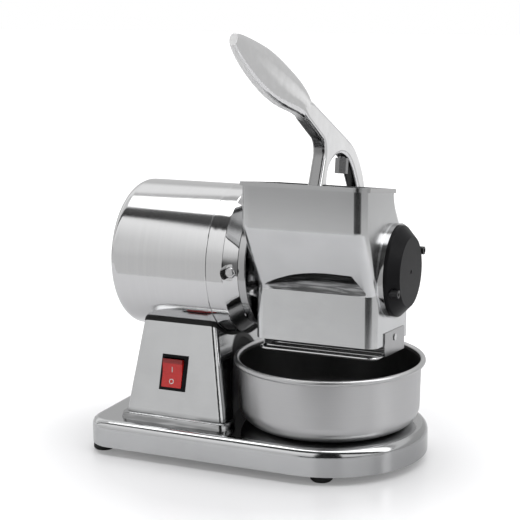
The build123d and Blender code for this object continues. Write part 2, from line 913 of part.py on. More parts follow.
# Hopper casting
mouth_back_height = mouth_front_height - (mouth_front + mouth_back) * tan(radians(mouth_tilt))
back_slope_top = mouth_back_height - back_wall_height
back_lean = atan2(chute_back - mouth_back, back_slope_top - back_slope_bottom)
back_bend_radius = back_bend_share * back_wall_height / tan(back_lean / 2)
front_lean = atan2(mouth_front - chute_front, mouth_bend_height + chute_top)
ear_inner = lever_thickness / 2 + moving_gap
ear_outer = ear_inner + ear_thickness


def chute_bottom(y):
    """Height of the chute's lower edge from the motor axis: it slopes down to the back."""
    return -chute_depth - (y + chute_front) * chute_slope


def hopper_outline():
    front_bend = (-mouth_front, mouth_bend_height)
    ledge = (-chute_front, -chute_top)
    back_low = (chute_back, back_slope_bottom)
    back_high = (mouth_back, back_slope_top)
    outline = outline_of((-mouth_front, mouth_front_height), front_bend, ledge, (-chute_front, -chute_depth),
                         (chute_back, chute_bottom(chute_back)), back_low, back_high,
                         (mouth_back, mouth_back_height))
    outline = bend(outline, front_bend, hopper_bend_radius)
    outline = bend(outline, ledge, ledge_radius)
    outline = bend(outline, back_low, hopper_bend_radius)
    return bend(outline, back_high, back_bend_radius)


def mouth_height(y):
    return mouth_front_height - (y + mouth_front) * tan(radians(mouth_tilt))


def throat_outline(inset=0.0):
    """Inside of the hopper in the side view, from above the mouth down to the drum."""
    front = mouth_front - hopper_wall - inset
    back = mouth_back - hopper_wall - inset
    high = mouth_front_height + hopper_wall
    half = chamber_radius - inset
    return outline_of((-front, high), (-front, mouth_bend_height + hopper_wall / 4), (-half, 0), (half, 0),
                      (half, back_slope_bottom + hopper_wall), (back, back_slope_top), (back, high))


def ear_outline():
    y, z = hinge_y, hinge_height
    slant = ear_radius * sin(radians(45))
    half = hopper_wall / 2
    web = outline_of((mouth_back - half, back_slope_top - hopper_wall), (y, z + ear_radius),
                     (y + slant, z - slant), (chute_back, -hopper_wall),
                     (chute_back - half, back_slope_bottom - half))
    return web + Pos(y, z) * Circle(ear_radius)


def on_front(x, rise, out):
    """Point near the hopper's front slope: a height up the slope and a distance in front of it."""
    y = -chute_front - rise * sin(front_lean) - out * cos(front_lean)
    z = axis_height - chute_top + rise * cos(front_lean) - out * sin(front_lean)
    return Vector(x, y, z)


def scoop_room():
    """Space above the ledge that the scoop keeps to: its right end leans back to the left."""
    end = hopper_right - scoop_end_inset
    high = mouth_front
    outline = outline_of((hopper_left, 0), (end, 0), (end - high * tan(radians(scoop_end_lean)), high),
                         (hopper_left, high))
    place = Plane(origin=(0, -2 * mouth_front, axis_height - chute_top), x_dir=(1, 0, 0), z_dir=(0, -1, 0))
    return extrude(place * outline, -2 * mouth_front)


def scoop_cutter():
    """A spindle that hollows the front slope above its ledge."""
    start = on_front(hopper_left + scoop_left_inset, scoop_rise_left, scoop_out_left)
    end = on_front(hopper_right - scoop_right_inset, scoop_rise_right, scoop_out_right)
    run = end - start
    length = run.length
    points = [(share * length, radius) for share, radius in scoop_profile]
    ends = Polyline(points[-1], (length, 0), (0, 0), points[0])
    place = Plane(origin=start, x_dir=run, z_dir=Vector(0, 1, 0).cross(run))
    spindle = revolve(place * make_face([Spline(*points), ends]), Axis(start, run))
    return spindle & scoop_room()


def lip_ring():
    length = (mouth_front + mouth_back) / cos(radians(mouth_tilt))
    middle_y = (mouth_back - mouth_front) / 2
    middle_z = axis_height + (mouth_front_height + mouth_back_height) / 2
    tilt = radians(mouth_tilt)
    place = Plane(origin=(hopper_mid, middle_y, middle_z), x_dir=(1, 0, 0), z_dir=(0, sin(tilt), cos(tilt)))
    outline = RectangleRounded(hopper_width + 2 * lip_width, length + 2 * lip_width,
                               hopper_corner + lip_width)
    return extrude(place * outline, -lip_height)


def back_slope_y(height):
    return chute_back - (height - back_slope_bottom) * tan(back_lean)


def rest_pad_outline():
    y = hinge_y - rest_nose_reach
    top = hinge_height - rest_pad_drop - stop_gap
    half = rest_pad_half
    foot = top - 3 * half
    return outline_of((chute_back - hopper_wall / 2, -hopper_wall), (y + half, foot), (y + half, top),
                      (y - half, top), (back_slope_y(foot) - hopper_wall / 2, foot))


def make_flange():
    flange = shaft_bar(flange_radius, flange_x, neck_x)
    rims = ring_edges(flange, flange_x, flange_radius) + ring_edges(flange, neck_x, flange_radius)
    return fillet(rims, flange_edge)


def cap_screw_places(x):
    y = cap_screw_circle * cos(radians(cap_screw_angle))
    z = cap_screw_circle * sin(radians(cap_screw_angle))
    return [(x, -y, axis_height - z), (x, y, axis_height + z)]


def rivet_place(x):
    y = (guard_back_y - tab_front_y) / 2
    return (x, y, axis_height + chute_bottom(y) + rivet_rise)


def make_hopper():
    body = side_slab(hopper_outline(), hopper_left, hopper_right)
    ends = [face for face in body.faces().filter_by(Axis.X)]
    corners = []
    for face in ends:
        for edge in face.edges():
            middle = edge @ 0.5
            low = abs(middle.Z - axis_height - chute_bottom(middle.Y)) < 0.1
            high = abs(middle.Z - axis_height - mouth_height(middle.Y)) < 0.1
            if not low and not high:
                corners.append(edge)
    body = fillet(corners, hopper_corner)
    body += lip_ring()
    for side in (-1, 1):
        inner, outer = sorted((hopper_mid + side * ear_inner, hopper_mid + side * ear_outer))
        body += side_slab(ear_outline(), inner, outer)
    body += side_slab(rest_pad_outline(), hopper_mid - ear_inner - overrun, hopper_mid + ear_inner + overrun)
    body += shaft_bar(boss_radius, hopper_right - overrun, cap_x)
    body += shaft_bar(neck_radius, neck_x, hopper_left + overrun)
    body += make_flange()
    body += shaft_tube(spigot_radius, spigot_radius - spigot_wall, flange_x - spigot_length, flange_x)
    cavity = throat_outline() + Circle(chamber_radius)
    chute_room = (chute_front + chute_back) - 2 * hopper_wall
    cavity += Pos((chute_back - chute_front) / 2, -chute_top_inside - chute_depth) * Rectangle(
        chute_room, 2 * chute_depth)
    body -= side_slab(cavity, inner_left, inner_right)
    body -= shaft_bar(cap_hole_radius, inner_right - overrun, cap_x)
    body -= shaft_bar(output_radius + shaft_hole_room, flange_x - overrun, inner_left + overrun)
    body -= shaft_bar(spigot_radius - spigot_wall, flange_x - spigot_length, flange_x + flange_thickness / 2)
    body -= scoop_cutter()
    for angle in flange_bolt_angles:
        body -= bar(flange_bolt_radius + screw_clearance, on_circle(angle, flange_bolt_circle, flange_x),
                    on_circle(angle, flange_bolt_circle, neck_x))
        body -= bar(scallop_radius, on_circle(angle, flange_bolt_circle, neck_x),
                    on_circle(angle, flange_bolt_circle, inner_left - scallop_floor))
    for place in cap_screw_places(cap_x):
        body -= bar(cap_screw_radius + screw_clearance, place,
                    (inner_right + cap_screw_end_wall, place[1], place[2]))
    for side, wall in ((-1, hopper_left), (1, hopper_right)):
        x, y, z = rivet_place(wall)
        body -= bar(rivet_radius + screw_clearance, (x + side, y, z), (x - 2 * side * hopper_wall, y, z))
    body -= bar(hinge_pin_radius + seat_clearance, (hopper_mid - 2 * ear_outer, hinge_y, hinge_z),
                (hopper_mid + 2 * ear_outer, hinge_y, hinge_z))
    return body


def make_flange_bolts():
    bolts = []
    for angle in flange_bolt_angles:
        low = on_circle(angle, flange_bolt_circle, flange_x - flange_bolt_depth)
        seat = on_circle(angle, flange_bolt_circle, neck_x)
        top = on_circle(angle, flange_bolt_circle, neck_x + flange_head_height)
        bolt = bar(flange_head_radius, seat, top) + bar(flange_bolt_radius, low, seat)
        socket_low = on_circle(angle, flange_bolt_circle, neck_x + flange_head_height - flange_socket_depth)
        bolts.append(bolt - hex_bar(flange_socket_width, socket_low, top))
    return group(bolts)


# Drum and end cap
def make_drum_sleeve():
    return shaft_tube(drum_radius, drum_radius - drum_sheet, drum_left, drum_right)


def make_drive_hub():
    hub = shaft_bar(drum_radius - drum_sheet - seat_clearance, drum_left, drum_left + hub_thickness)
    hub += shaft_bar(drive_hub_radius, drum_left, drum_left + drive_hub_length)
    return hub - shaft_bar(output_radius + seat_clearance, drum_left - overrun,
                           drum_left + drive_hub_length - hub_end_wall)


def make_end_hub():
    hub = shaft_bar(drum_radius - drum_sheet - seat_clearance, drum_right - hub_thickness, drum_right)
    return hub + shaft_bar(journal_end_radius, drum_right - hub_thickness, drum_right + journal_end_length)


cap_rim_x = cap_x + cap_rim_height
cap_face_x = cap_rim_x + cap_cone_height
bush_radius = journal_end_radius + bush_wall
screw_seat_x = cap_x + cap_screw_seat


def make_end_cap():
    outline = outline_of((inner_right, 0), (inner_right, cap_hole_radius - seat_clearance),
                         (cap_x, cap_hole_radius - seat_clearance), (cap_x, cap_radius),
                         (cap_rim_x, cap_radius), (cap_face_x, cap_face_radius), (cap_face_x, 0))
    cap = revolve(axis_plane * outline, motor_axis)
    rims = ring_edges(cap, cap_face_x, cap_face_radius) + ring_edges(cap, cap_rim_x, cap_radius)
    cap = fillet(rims, cap_edge)
    cap -= shaft_bar(bush_radius, inner_right, cap_face_x - cap_bush_seat)
    cap -= shaft_bar(cap_vent_radius, inner_right, cap_face_x)
    for place in cap_screw_places(screw_seat_x):
        x, y, z = place
        cap -= bar(cap_screw_radius + screw_clearance, (inner_right, y, z), (cap_face_x, y, z))
        cap -= bar(cap_screw_head_radius + cap_screw_head_room, place, (cap_face_x + overrun, y, z))
    return cap


def make_cap_screws():
    screws = []
    for x, y, z in cap_screw_places(screw_seat_x):
        top = x + cap_screw_head_height
        screw = bar(cap_screw_head_radius, (x, y, z), (top, y, z))
        screw += bar(cap_screw_radius, (inner_right + 2 * cap_screw_end_wall, y, z), (x, y, z))
        socket_low = top - cap_screw_socket_depth
        screws.append(screw - hex_bar(cap_screw_socket_width, (socket_low, y, z), (top, y, z)))
    return group(screws)


def make_bush():
    end = cap_face_x - cap_bush_seat
    return shaft_tube(bush_radius - seat_clearance, journal_end_radius + running_clearance, end - bush_length,
                      end)


# Lever, presser and hinge. Lever points are measured from the hinge pin: back, up.
neck_place = (-128.0, 109.0)
grip_end_place = (-250.5, 169.0)
tongue_end = (-152.0, 121.0)
neck_top = (-113.3, 111.6)
neck_bottom = (-124.8, 97.4)
arm_top_end = (-44.5, 78.1)
back_bend = (-12.5, 58.6)
back_leg_middle = (-1.0, 44.5)
back_leg_outer = (7.7, 26.0)
front_bend = (-85.4, 73.7)
front_leg_end = (-111.5, 18.0)
arch_front = (-84.3, 40.8)
arch_shoulder = (-80.5, 53.5)
arch_crown = (-60.0, 62.0)
arch_back = (-31.5, 54.4)
arch_back_low = (-16.0, 36.0)
arch_foot = (-9.5, 26.0)
stop_bolt_foot = (-35.2, 56.4)
presser_bolt_offset = 1.5

# The grip's sections: distance past the neck, offset up, half height, share of the lever's thickness
grip_sections = (
    (-14.0, -0.1, 8.4, 0.94), (-3.0, 1.8, 11.0, 1.01), (12.0, 2.5, 13.2, 1.05), (35.0, 0.95, 15.9, 1.07),
    (62.0, -0.6, 17.2, 1.06), (88.0, -1.55, 15.75, 1.0), (112.0, -2.3, 12.0, 0.88), (128.0, -2.2, 8.3, 0.72),
    (137.5, -1.9, 4.6, 0.52))
grip_fullness = 2.4
grip_section_points = 16


def lever_outline():
    """The arm and its two legs; a tongue at its top runs into the grip."""
    foot_back = (front_leg_end[0] + leg_width, front_leg_end[1])
    nose_half = rest_pad_half + rest_nose_margin
    nose_front = -rest_nose_reach - nose_half
    nose_back = (-sqrt(ear_radius ** 2 - rest_pad_drop ** 2), -rest_pad_drop)
    eye_low = (ear_radius * cos(radians(45)), -ear_radius * sin(radians(45)))
    nose_low = (nose_front, -rest_pad_drop)
    front = Polyline(neck_top, tongue_end, neck_bottom, front_bend, front_leg_end, foot_back, arch_front)
    arch = Spline(arch_front, arch_shoulder, arch_crown, arch_back, arch_back_low, arch_foot)
    heel = [Polyline(arch_foot, (nose_front, 0), nose_low, nose_back),
            ThreePointArc(nose_back, eye_low, (ear_radius, 0))]
    top = Line(arm_top_end, neck_top)
    back = Spline((ear_radius, 0), back_leg_outer, back_leg_middle, back_bend, arm_top_end,
                  tangents=((0, 1), top % 0))
    outline = make_face([front, arch, *heel, back, top])
    for point in (neck_top, neck_bottom, front_bend, arch_front):
        outline = bend(outline, point, lever_bend)
    for point in (tongue_end, front_leg_end, foot_back, arch_foot, (nose_front, 0), nose_low, nose_back):
        outline = bend(outline, point, lever_corner)
    return outline


def grip_section(along, up, half_height, share):
    """One section across the grip, between an oval and a rounded box."""
    run = Vector(grip_end_place[0] - neck_place[0], grip_end_place[1] - neck_place[1], 0).normalized()
    middle = (neck_place[0] + along * run.X + up * run.Y, neck_place[1] + along * run.Y - up * run.X)
    half_width = share * lever_thickness / 2
    power = 2 / grip_fullness
    points = []
    for i in range(grip_section_points):
        turn = radians(i * 360 / grip_section_points)
        wide, high = cos(turn), sin(turn)
        points.append((half_width * (1 if wide > 0 else -1) * abs(wide) ** power,
                       half_height * (1 if high > 0 else -1) * abs(high) ** power))
    place = Plane(origin=from_hinge(middle), x_dir=(1, 0, 0), z_dir=(0, run.X, run.Y))
    return place * make_face(Spline(*points, periodic=True))


def from_hinge(point, x=0.0):
    return (hopper_mid + x, hinge_y + point[0], hinge_z + point[1])


def lever_plane(x):
    return Plane(origin=from_hinge((0, 0), x), x_dir=(0, 1, 0), z_dir=(1, 0, 0))


presser_bolt_point = (front_leg_end[0] + leg_width / 2 + presser_bolt_offset,
                      front_leg_end[1] + presser_bolt_drop)
stop_direction = (-sin(radians(stop_bolt_tilt)), -cos(radians(stop_bolt_tilt)))


def along_stop(distance):
    back = stop_bolt_foot[0] + distance * stop_direction[0]
    up = stop_bolt_foot[1] + distance * stop_direction[1]
    return from_hinge((back, up))


def make_lever():
    lever = extrude(lever_plane(-lever_thickness / 2) * lever_outline(), lever_thickness)
    rims = [edge for face in lever.faces().filter_by(Axis.X) for edge in face.edges()]
    lever = fillet(rims, lever_edge)
    lever += loft([grip_section(*section) for section in grip_sections])
    half = lever_thickness
    lever -= bar(hinge_pin_radius + running_clearance, from_hinge((0, 0), -half), from_hinge((0, 0), half))
    lever -= bar(presser_bolt_radius + screw_clearance, from_hinge(presser_bolt_point, -half),
                 from_hinge(presser_bolt_point, half))
    lever -= bar(stop_bolt_radius + screw_clearance, along_stop(-stop_bolt_depth), along_stop(stop_bolt_head))
    lever -= bar(stop_seat_radius, along_stop(0), along_stop(stop_bolt_head))
    return lever


def make_hinge_pin():
    reach = ear_outer + pin_overhang
    return bar(hinge_pin_radius, from_hinge((0, 0), -reach), from_hinge((0, 0), reach)) - group(
        [clip_ring(side, hinge_pin_radius + overrun, clip_groove_radius) for side in (-1, 1)])


def clip_ring(side, outer, inner):
    near = ear_outer + seat_clearance
    far = near + clip_thickness
    return tube(outer, inner, from_hinge((0, 0), side * near), from_hinge((0, 0), side * far))


def make_hinge_clips():
    return group([clip_ring(side, hinge_pin_radius + clip_width, clip_groove_radius + seat_clearance)
                  for side in (-1, 1)])


def presser_outline():
    """The hopper's inside, kept clear of the drum and of the walls as the lever swings."""
    hinge = (hinge_y, hinge_height)
    back_reach = sqrt((hinge_y - mouth_back + hopper_wall) ** 2 + (mouth_back_height - hinge_height) ** 2)
    front_reach = hinge_y + mouth_front - hopper_wall
    outline = throat_outline(presser_clearance) & Pos(*hinge) * Circle(front_reach - presser_swing_gap)
    outline -= Pos(*hinge) * Circle(back_reach + presser_swing_gap)
    outline -= Circle(drum_radius + presser_drum_gap)
    outline &= Pos(0, presser_top - hopper_width) * Rectangle(4 * mouth_front, 2 * hopper_width)
    return outline.faces().sort_by(SortBy.AREA)[-1]


def presser_ears():
    y, z = hinge_y + presser_bolt_point[0], hinge_height + presser_bolt_point[1]
    foot_y = y - presser_ear_radius
    foot_z = presser_top - presser_floor
    return outline_of((foot_y, foot_z), (y + presser_ear_radius, foot_z), (y + presser_ear_radius, z),
                      (foot_y, z)) + Pos(y, z) * Circle(presser_ear_radius)


def make_presser():
    left = inner_left + presser_side_clearance
    right = inner_right - presser_side_clearance
    outline = presser_outline()
    presser = side_slab(outline, left, right)
    pocket = offset(outline, -presser_rib)
    lifted = Pos(0, presser_rib) * pocket
    presser -= side_slab(pocket + lifted, left + presser_rib, right - presser_rib)
    presser -= side_slab(lifted + Pos(0, presser_rib) * lifted, left + presser_rib, right - presser_rib)
    near = lever_thickness / 2 + moving_gap
    for side in (-1, 1):
        inner, outer = sorted((hopper_mid + side * near, hopper_mid + side * (near + presser_ear_wall)))
        presser += side_slab(presser_ears() + outline, inner, outer)
    reach = near + 2 * presser_ear_wall
    return presser - bar(presser_bolt_radius + screw_clearance, from_hinge(presser_bolt_point, -reach),
                         from_hinge(presser_bolt_point, reach))


presser_ear_face = lever_thickness / 2 + moving_gap + presser_ear_wall


def make_presser_bolt():
    face = presser_ear_face
    head = hex_bar(hex_width_m6, from_hinge(presser_bolt_point, face),
                   from_hinge(presser_bolt_point, face + hex_height_m6))
    end = -face - nut_height_m6 - presser_bolt_spare
    return head + bar(presser_bolt_radius, from_hinge(presser_bolt_point, end),
                      from_hinge(presser_bolt_point, face))


def make_presser_nut():
    face = presser_ear_face
    nut = hex_bar(hex_width_m6, from_hinge(presser_bolt_point, -face - nut_height_m6),
                  from_hinge(presser_bolt_point, -face))
    return nut - bar(presser_bolt_radius + screw_clearance, from_hinge(presser_bolt_point, -2 * face),
                     from_hinge(presser_bolt_point, 0))


def make_stop_bolt():
    bolt = bar(stop_bolt_radius, along_stop(stop_end_gap - stop_bolt_depth), along_stop(stop_nut_height))
    return bolt + hex_bar(hex_width_m6, along_stop(stop_nut_height),
                          along_stop(stop_nut_height + stop_bolt_head))


def make_stop_nut():
    nut = hex_bar(hex_width_m6, along_stop(0), along_stop(stop_nut_height))
    return nut - bar(stop_bolt_radius + screw_clearance, along_stop(-overrun),
                     along_stop(stop_nut_height + overrun))


# Guard under the outlet: two tabs, a bent wire and rods between its arms
tilt_angle = radians(chute_tilt)
wire_x = hopper_width / 2 - guard_wire_radius - seat_clearance
wire_front_z = axis_height + chute_bottom(-guard_front_y) - guard_drop
wire_arm = (guard_front_y + guard_back_y) / cos(tilt_angle)
guard_plane = Plane(origin=(hopper_mid, -guard_front_y, wire_front_z), x_dir=(1, 0, 0),
                    z_dir=(0, sin(tilt_angle), cos(tilt_angle)))


def make_guard_frame():
    corners = [(-wire_x, wire_arm), (-wire_x, 0), (wire_x, 0), (wire_x, wire_arm)]
    path = guard_plane * FilletPolyline(*corners, radius=guard_bend_radius)
    return sweep(Plane(origin=path @ 0, z_dir=path % 0) * Circle(guard_wire_radius), path)


def make_guard_rods():
    step = wire_arm / guard_rod_count
    reach = wire_x - guard_wire_radius - seat_clearance
    rods = []
    for i in range(guard_rod_count):
        start = guard_plane.from_local_coords((-reach, (i + 1) * step - guard_wire_radius, 0))
        end = guard_plane.from_local_coords((reach, (i + 1) * step - guard_wire_radius, 0))
        rods.append(bar(guard_wire_radius, start, end))
    return group(rods)


def make_guard_tabs():
    outline = outline_of((-tab_front_y, chute_bottom(-tab_front_y) + tab_rise),
                         (guard_back_y, chute_bottom(guard_back_y) + tab_rise),
                         (guard_back_y, chute_bottom(guard_back_y) - tab_drop),
                         (-tab_front_y, chute_bottom(-tab_front_y) - tab_drop))
    tabs = []
    for start in (hopper_left - tab_thickness, hopper_right):
        tab = side_slab(outline, start, start + tab_thickness)
        tab -= bar(rivet_radius + screw_clearance, rivet_place(start - overrun),
                   rivet_place(start + tab_thickness + overrun))
        tabs.append(tab)
    return group(tabs)


def make_guard_rivets():
    rivets = []
    for wall, side in ((hopper_left, -1), (hopper_right, 1)):
        face = wall + side * tab_thickness
        head = bar(rivet_head_radius, rivet_place(face), rivet_place(face + side * rivet_head_height))
        end = wall - side * (hopper_wall - rivet_end_wall)
        rivets.append(head + bar(rivet_radius, rivet_place(end), rivet_place(face)))
    return group(rivets)


# Bowl
def bowl_shell(inset):
    low = base_top + bowl_lift + inset
    high = base_top + bowl_lift + bowl_height - bowl_rim_radius
    bottom = bowl_body_radius - bowl_side_taper - inset
    outline = outline_of((0, low), (bottom, low), (bowl_body_radius - inset, high), (0, high))
    corner = outline.vertices().sort_by_distance(Vertex(bottom, low, 0))[0]
    place = Plane(origin=(bowl_x, 0, 0), x_dir=(1, 0, 0), z_dir=(0, -1, 0))
    return revolve(place * fillet(corner, bowl_bottom_round - inset), Axis((bowl_x, 0, 0), (0, 0, 1)))


def make_bowl():
    bowl = bowl_shell(0) - bowl_shell(bowl_wall)
    rim_z = base_top + bowl_lift + bowl_height - bowl_rim_radius
    rim = Pos(bowl_x, 0, rim_z) * Torus(bowl_radius - bowl_rim_radius, bowl_rim_radius)
    return bowl + rim


def make_pieces():
    return {
        "base_casting": make_base(),
        "bottom_plate": make_bottom_plate(),
        "rubber_feet": make_feet(),
        "foot_screws": make_foot_screws(),
        "column": make_column(),
        "motor_gasket": make_gasket(),
        "column_bolts": make_column_bolts(),
        "motor_bolts": make_motor_bolts(),
        "motor_bolt_nuts": make_motor_nuts(),
        "switch_frame": make_switch_frame(),
        "switch_rocker": make_rocker(),
        "switch_terminals": make_switch_terminals(),
        "capacitor": make_capacitor(),
        "capacitor_nut": make_capacitor_nut(),
        "terminal_block": make_terminal_block(),
        "terminal_inserts": make_terminal_inserts(),
        "cable_gland": make_gland(),
        "gland_nut": make_gland_nut(),
        "motor_can": make_can(),
        "rear_shield": make_shield(),
        "motor_bell": make_bell(),
        "bell_screws": make_bell_screws(),
        "stator_core": make_stator_core(),
        "stator_windings": make_windings(),
        "rotor": make_rotor(),
        "motor_shaft": make_motor_shaft(),
        "bearing_outer_rings": make_outer_rings(),
        "bearing_inner_rings": make_inner_rings(),
        "bearing_balls": make_balls(),
        "shaft_seal": make_seal(),
        "tie_studs": make_studs(),
        "hopper": make_hopper(),
        "flange_bolts": make_flange_bolts(),
        "drum_sleeve": make_drum_sleeve(),
        "drum_drive_hub": make_drive_hub(),
        "drum_end_hub": make_end_hub(),
        "end_cap": make_end_cap(),
        "cap_screws": make_cap_screws(),
        "cap_bush": make_bush(),
        "lever": make_lever(),
        "hinge_pin": make_hinge_pin(),
        "hinge_clips": make_hinge_clips(),
        "presser": make_presser(),
        "presser_bolt": make_presser_bolt(),
        "presser_nut": make_presser_nut(),
        "stop_bolt": make_stop_bolt(),
        "stop_nut": make_stop_nut(),
        "guard_frame": make_guard_frame(),
        "guard_rods": make_guard_rods(),
        "guard_tabs": make_guard_tabs(),
        "guard_rivets": make_guard_rivets(),
        "bowl": make_bowl(),
    }


os.makedirs("parts", exist_ok=True)
for name, piece in make_pieces().items():
    export_step(piece, f"parts/{name}.step")
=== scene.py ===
import math

import bmesh
import bpy
from bpy.props import FloatProperty, FloatVectorProperty, IntProperty, PointerProperty
from mathutils import Matrix, Vector
from mathutils.bvhtree import BVHTree


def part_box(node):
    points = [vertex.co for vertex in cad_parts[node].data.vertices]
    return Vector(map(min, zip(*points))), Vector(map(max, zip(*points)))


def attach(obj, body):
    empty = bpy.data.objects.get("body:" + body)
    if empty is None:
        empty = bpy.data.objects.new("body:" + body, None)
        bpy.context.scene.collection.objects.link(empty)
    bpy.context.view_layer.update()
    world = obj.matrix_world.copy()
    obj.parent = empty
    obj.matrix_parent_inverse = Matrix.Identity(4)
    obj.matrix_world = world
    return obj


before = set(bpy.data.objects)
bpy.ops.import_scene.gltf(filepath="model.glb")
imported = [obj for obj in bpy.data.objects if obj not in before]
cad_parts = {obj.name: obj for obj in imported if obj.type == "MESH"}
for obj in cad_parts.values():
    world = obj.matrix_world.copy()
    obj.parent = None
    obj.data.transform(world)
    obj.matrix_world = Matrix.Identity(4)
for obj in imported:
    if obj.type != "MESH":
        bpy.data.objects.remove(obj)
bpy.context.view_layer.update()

bl_info = {
    "name": "Electric grater finishes",
    "version": (1, 0, 0),
    "blender": (4, 5, 0),
    "location": "View3D > Sidebar > Grater",
    "description": "Dresses the electric grater and sets up its studio",
    "category": "Object",
}

# Places on the object, read from the frame
CAN_LOW, CAN_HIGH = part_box("motor_can")
BELL_LOW, BELL_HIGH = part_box("motor_bell")
BOWL_LOW, BOWL_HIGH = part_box("bowl")
HOPPER_LOW, HOPPER_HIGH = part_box("hopper")
COLUMN_LOW, COLUMN_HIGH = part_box("column")
BASE_LOW, BASE_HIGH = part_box("base_casting")
DRUM_LOW, DRUM_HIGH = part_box("drum_sleeve")
ROCKER_LOW, ROCKER_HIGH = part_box("switch_rocker")
AXIS_Z = (CAN_LOW.z + CAN_HIGH.z) / 2
BOWL_X = (BOWL_LOW.x + BOWL_HIGH.x) / 2
BOWL_RADIUS = (BOWL_HIGH.x - BOWL_LOW.x) / 2
DRUM_RADIUS = (DRUM_HIGH.z - DRUM_LOW.z) / 2
FLANGE_DEPTH = 0.009
BOSS_DEPTH = 0.005
HOPPER_WALL_X = BELL_HIGH.x + FLANGE_DEPTH
BOSS_X = HOPPER_HIGH.x - BOSS_DEPTH
LEDGE = Vector((0.0, -0.044, AXIS_Z - 0.0147))
SLOPE_TOP = Vector((0.0, -0.072, AXIS_Z + 0.0415))
SCOOP_HEIGHT = 0.024
LEVER_GRIP_Y = -0.075
# Painted highlight colour of the lever grip's rim, and painted shade colour under the lever's arch
GRIP_RIM_HIGHLIGHT = (0.97, 0.97, 0.97)
ARCH_SHADE = (0.02, 0.02, 0.02)

# Camera of the photograph
CAMERA_PLACE = (0.4905, -1.1057, 0.4179)
CAMERA_TARGET = (-0.0088, 0.0, 0.1689)
CAMERA_ROLL = math.radians(-0.4)
SENSOR_WIDTH = 36.0


class GraterColours(bpy.types.PropertyGroup):
    """Colours of the finishes that a user would change."""

    aluminium: FloatVectorProperty(
        name="Cast aluminium", description="Colour of the satin castings", subtype="COLOR",
        default=(0.60, 0.605, 0.61), min=0.0, max=1.0)
    polish: FloatVectorProperty(
        name="Polished casting", description="Colour of the lever and the motor bell", subtype="COLOR",
        default=(0.80, 0.80, 0.805), min=0.0, max=1.0)
    steel: FloatVectorProperty(
        name="Stainless steel", description="Colour of the motor can and the bowl", subtype="COLOR",
        default=(0.68, 0.68, 0.685), min=0.0, max=1.0)
    zinc: FloatVectorProperty(
        name="Fasteners", description="Colour of the plated screws, nuts and pins", subtype="COLOR",
        default=(0.58, 0.58, 0.585), min=0.0, max=1.0)
    rocker: FloatVectorProperty(
        name="Rocker", description="Colour of the switch rocker", subtype="COLOR",
        default=(0.70, 0.022, 0.020), min=0.0, max=1.0)
    plastic: FloatVectorProperty(
        name="Black plastic", description="Colour of the end cap and the switch bezel", subtype="COLOR",
        default=(0.010, 0.010, 0.011), min=0.0, max=1.0)


class GraterTeeth(bpy.types.PropertyGroup):
    """Sizes of the grating points on the drum."""

    rows: IntProperty(
        name="Rows", description="Rings of grating points along the drum", default=17, min=2)
    around: IntProperty(
        name="Points in a row", description="Grating points round the drum", default=28, min=6)
    height: FloatProperty(
        name="Height", description="How far a point stands above the drum", default=0.0011, min=0.0,
        unit="LENGTH")
    radius: FloatProperty(
        name="Radius", description="Radius of a point at its foot", default=0.0016, min=0.0001, unit="LENGTH")


class GraterMarks(bpy.types.PropertyGroup):
    """Sizes of the on and off marks of the switch."""

    ring_radius: FloatProperty(
        name="Ring radius", description="Outer radius of the off mark", default=0.0023, min=0.0005,
        unit="LENGTH")
    stroke: FloatProperty(
        name="Stroke", description="Width of the marks' lines", default=0.00068, min=0.0001, unit="LENGTH")
    bar_length: FloatProperty(
        name="Bar length", description="Length of the on mark", default=0.0046, min=0.0005, unit="LENGTH")
    relief: FloatProperty(
        name="Relief", description="How far the marks stand above the rocker", default=0.00012, min=0.0,
        unit="LENGTH")


class GraterStudio(bpy.types.PropertyGroup):
    """The camera and the light round the object."""

    lens: FloatProperty(
        name="Lens", description="Focal length of the camera", default=96.92, min=10.0,
        subtype="DISTANCE_CAMERA")
    brightness: FloatProperty(
        name="Brightness", description="Strength of the studio light", default=1.0, min=0.0)
    floor_half: FloatProperty(
        name="Floor", description="Half of the floor's width", default=8.0, min=0.5, unit="LENGTH")


class Wire:
    """A socket that takes part in Python sums; each sum adds its Math node."""

    def __init__(self, sheet, socket):
        self.sheet = sheet
        self.socket = socket

    def sum(self, operation, first, second=0.0):
        return self.sheet.node("ShaderNodeMath", {"operation": operation}, {0: first, 1: second})

    def __add__(self, other):
        return self.sum("ADD", self, other)

    def __radd__(self, other):
        return self.sum("ADD", other, self)

    def __sub__(self, other):
        return self.sum("SUBTRACT", self, other)

    def __rsub__(self, other):
        return self.sum("SUBTRACT", other, self)

    def __mul__(self, other):
        return self.sum("MULTIPLY", self, other)

    def __rmul__(self, other):
        return self.sum("MULTIPLY", other, self)

    def __truediv__(self, other):
        return self.sum("DIVIDE", self, other)

    def __rtruediv__(self, other):
        return self.sum("DIVIDE", other, self)

    def root(self):
        return self.sum("SQRT", self)

    def size(self):
        return self.sum("ABSOLUTE", self)

    def larger(self, other):
        return self.sum("MAXIMUM", self, other)


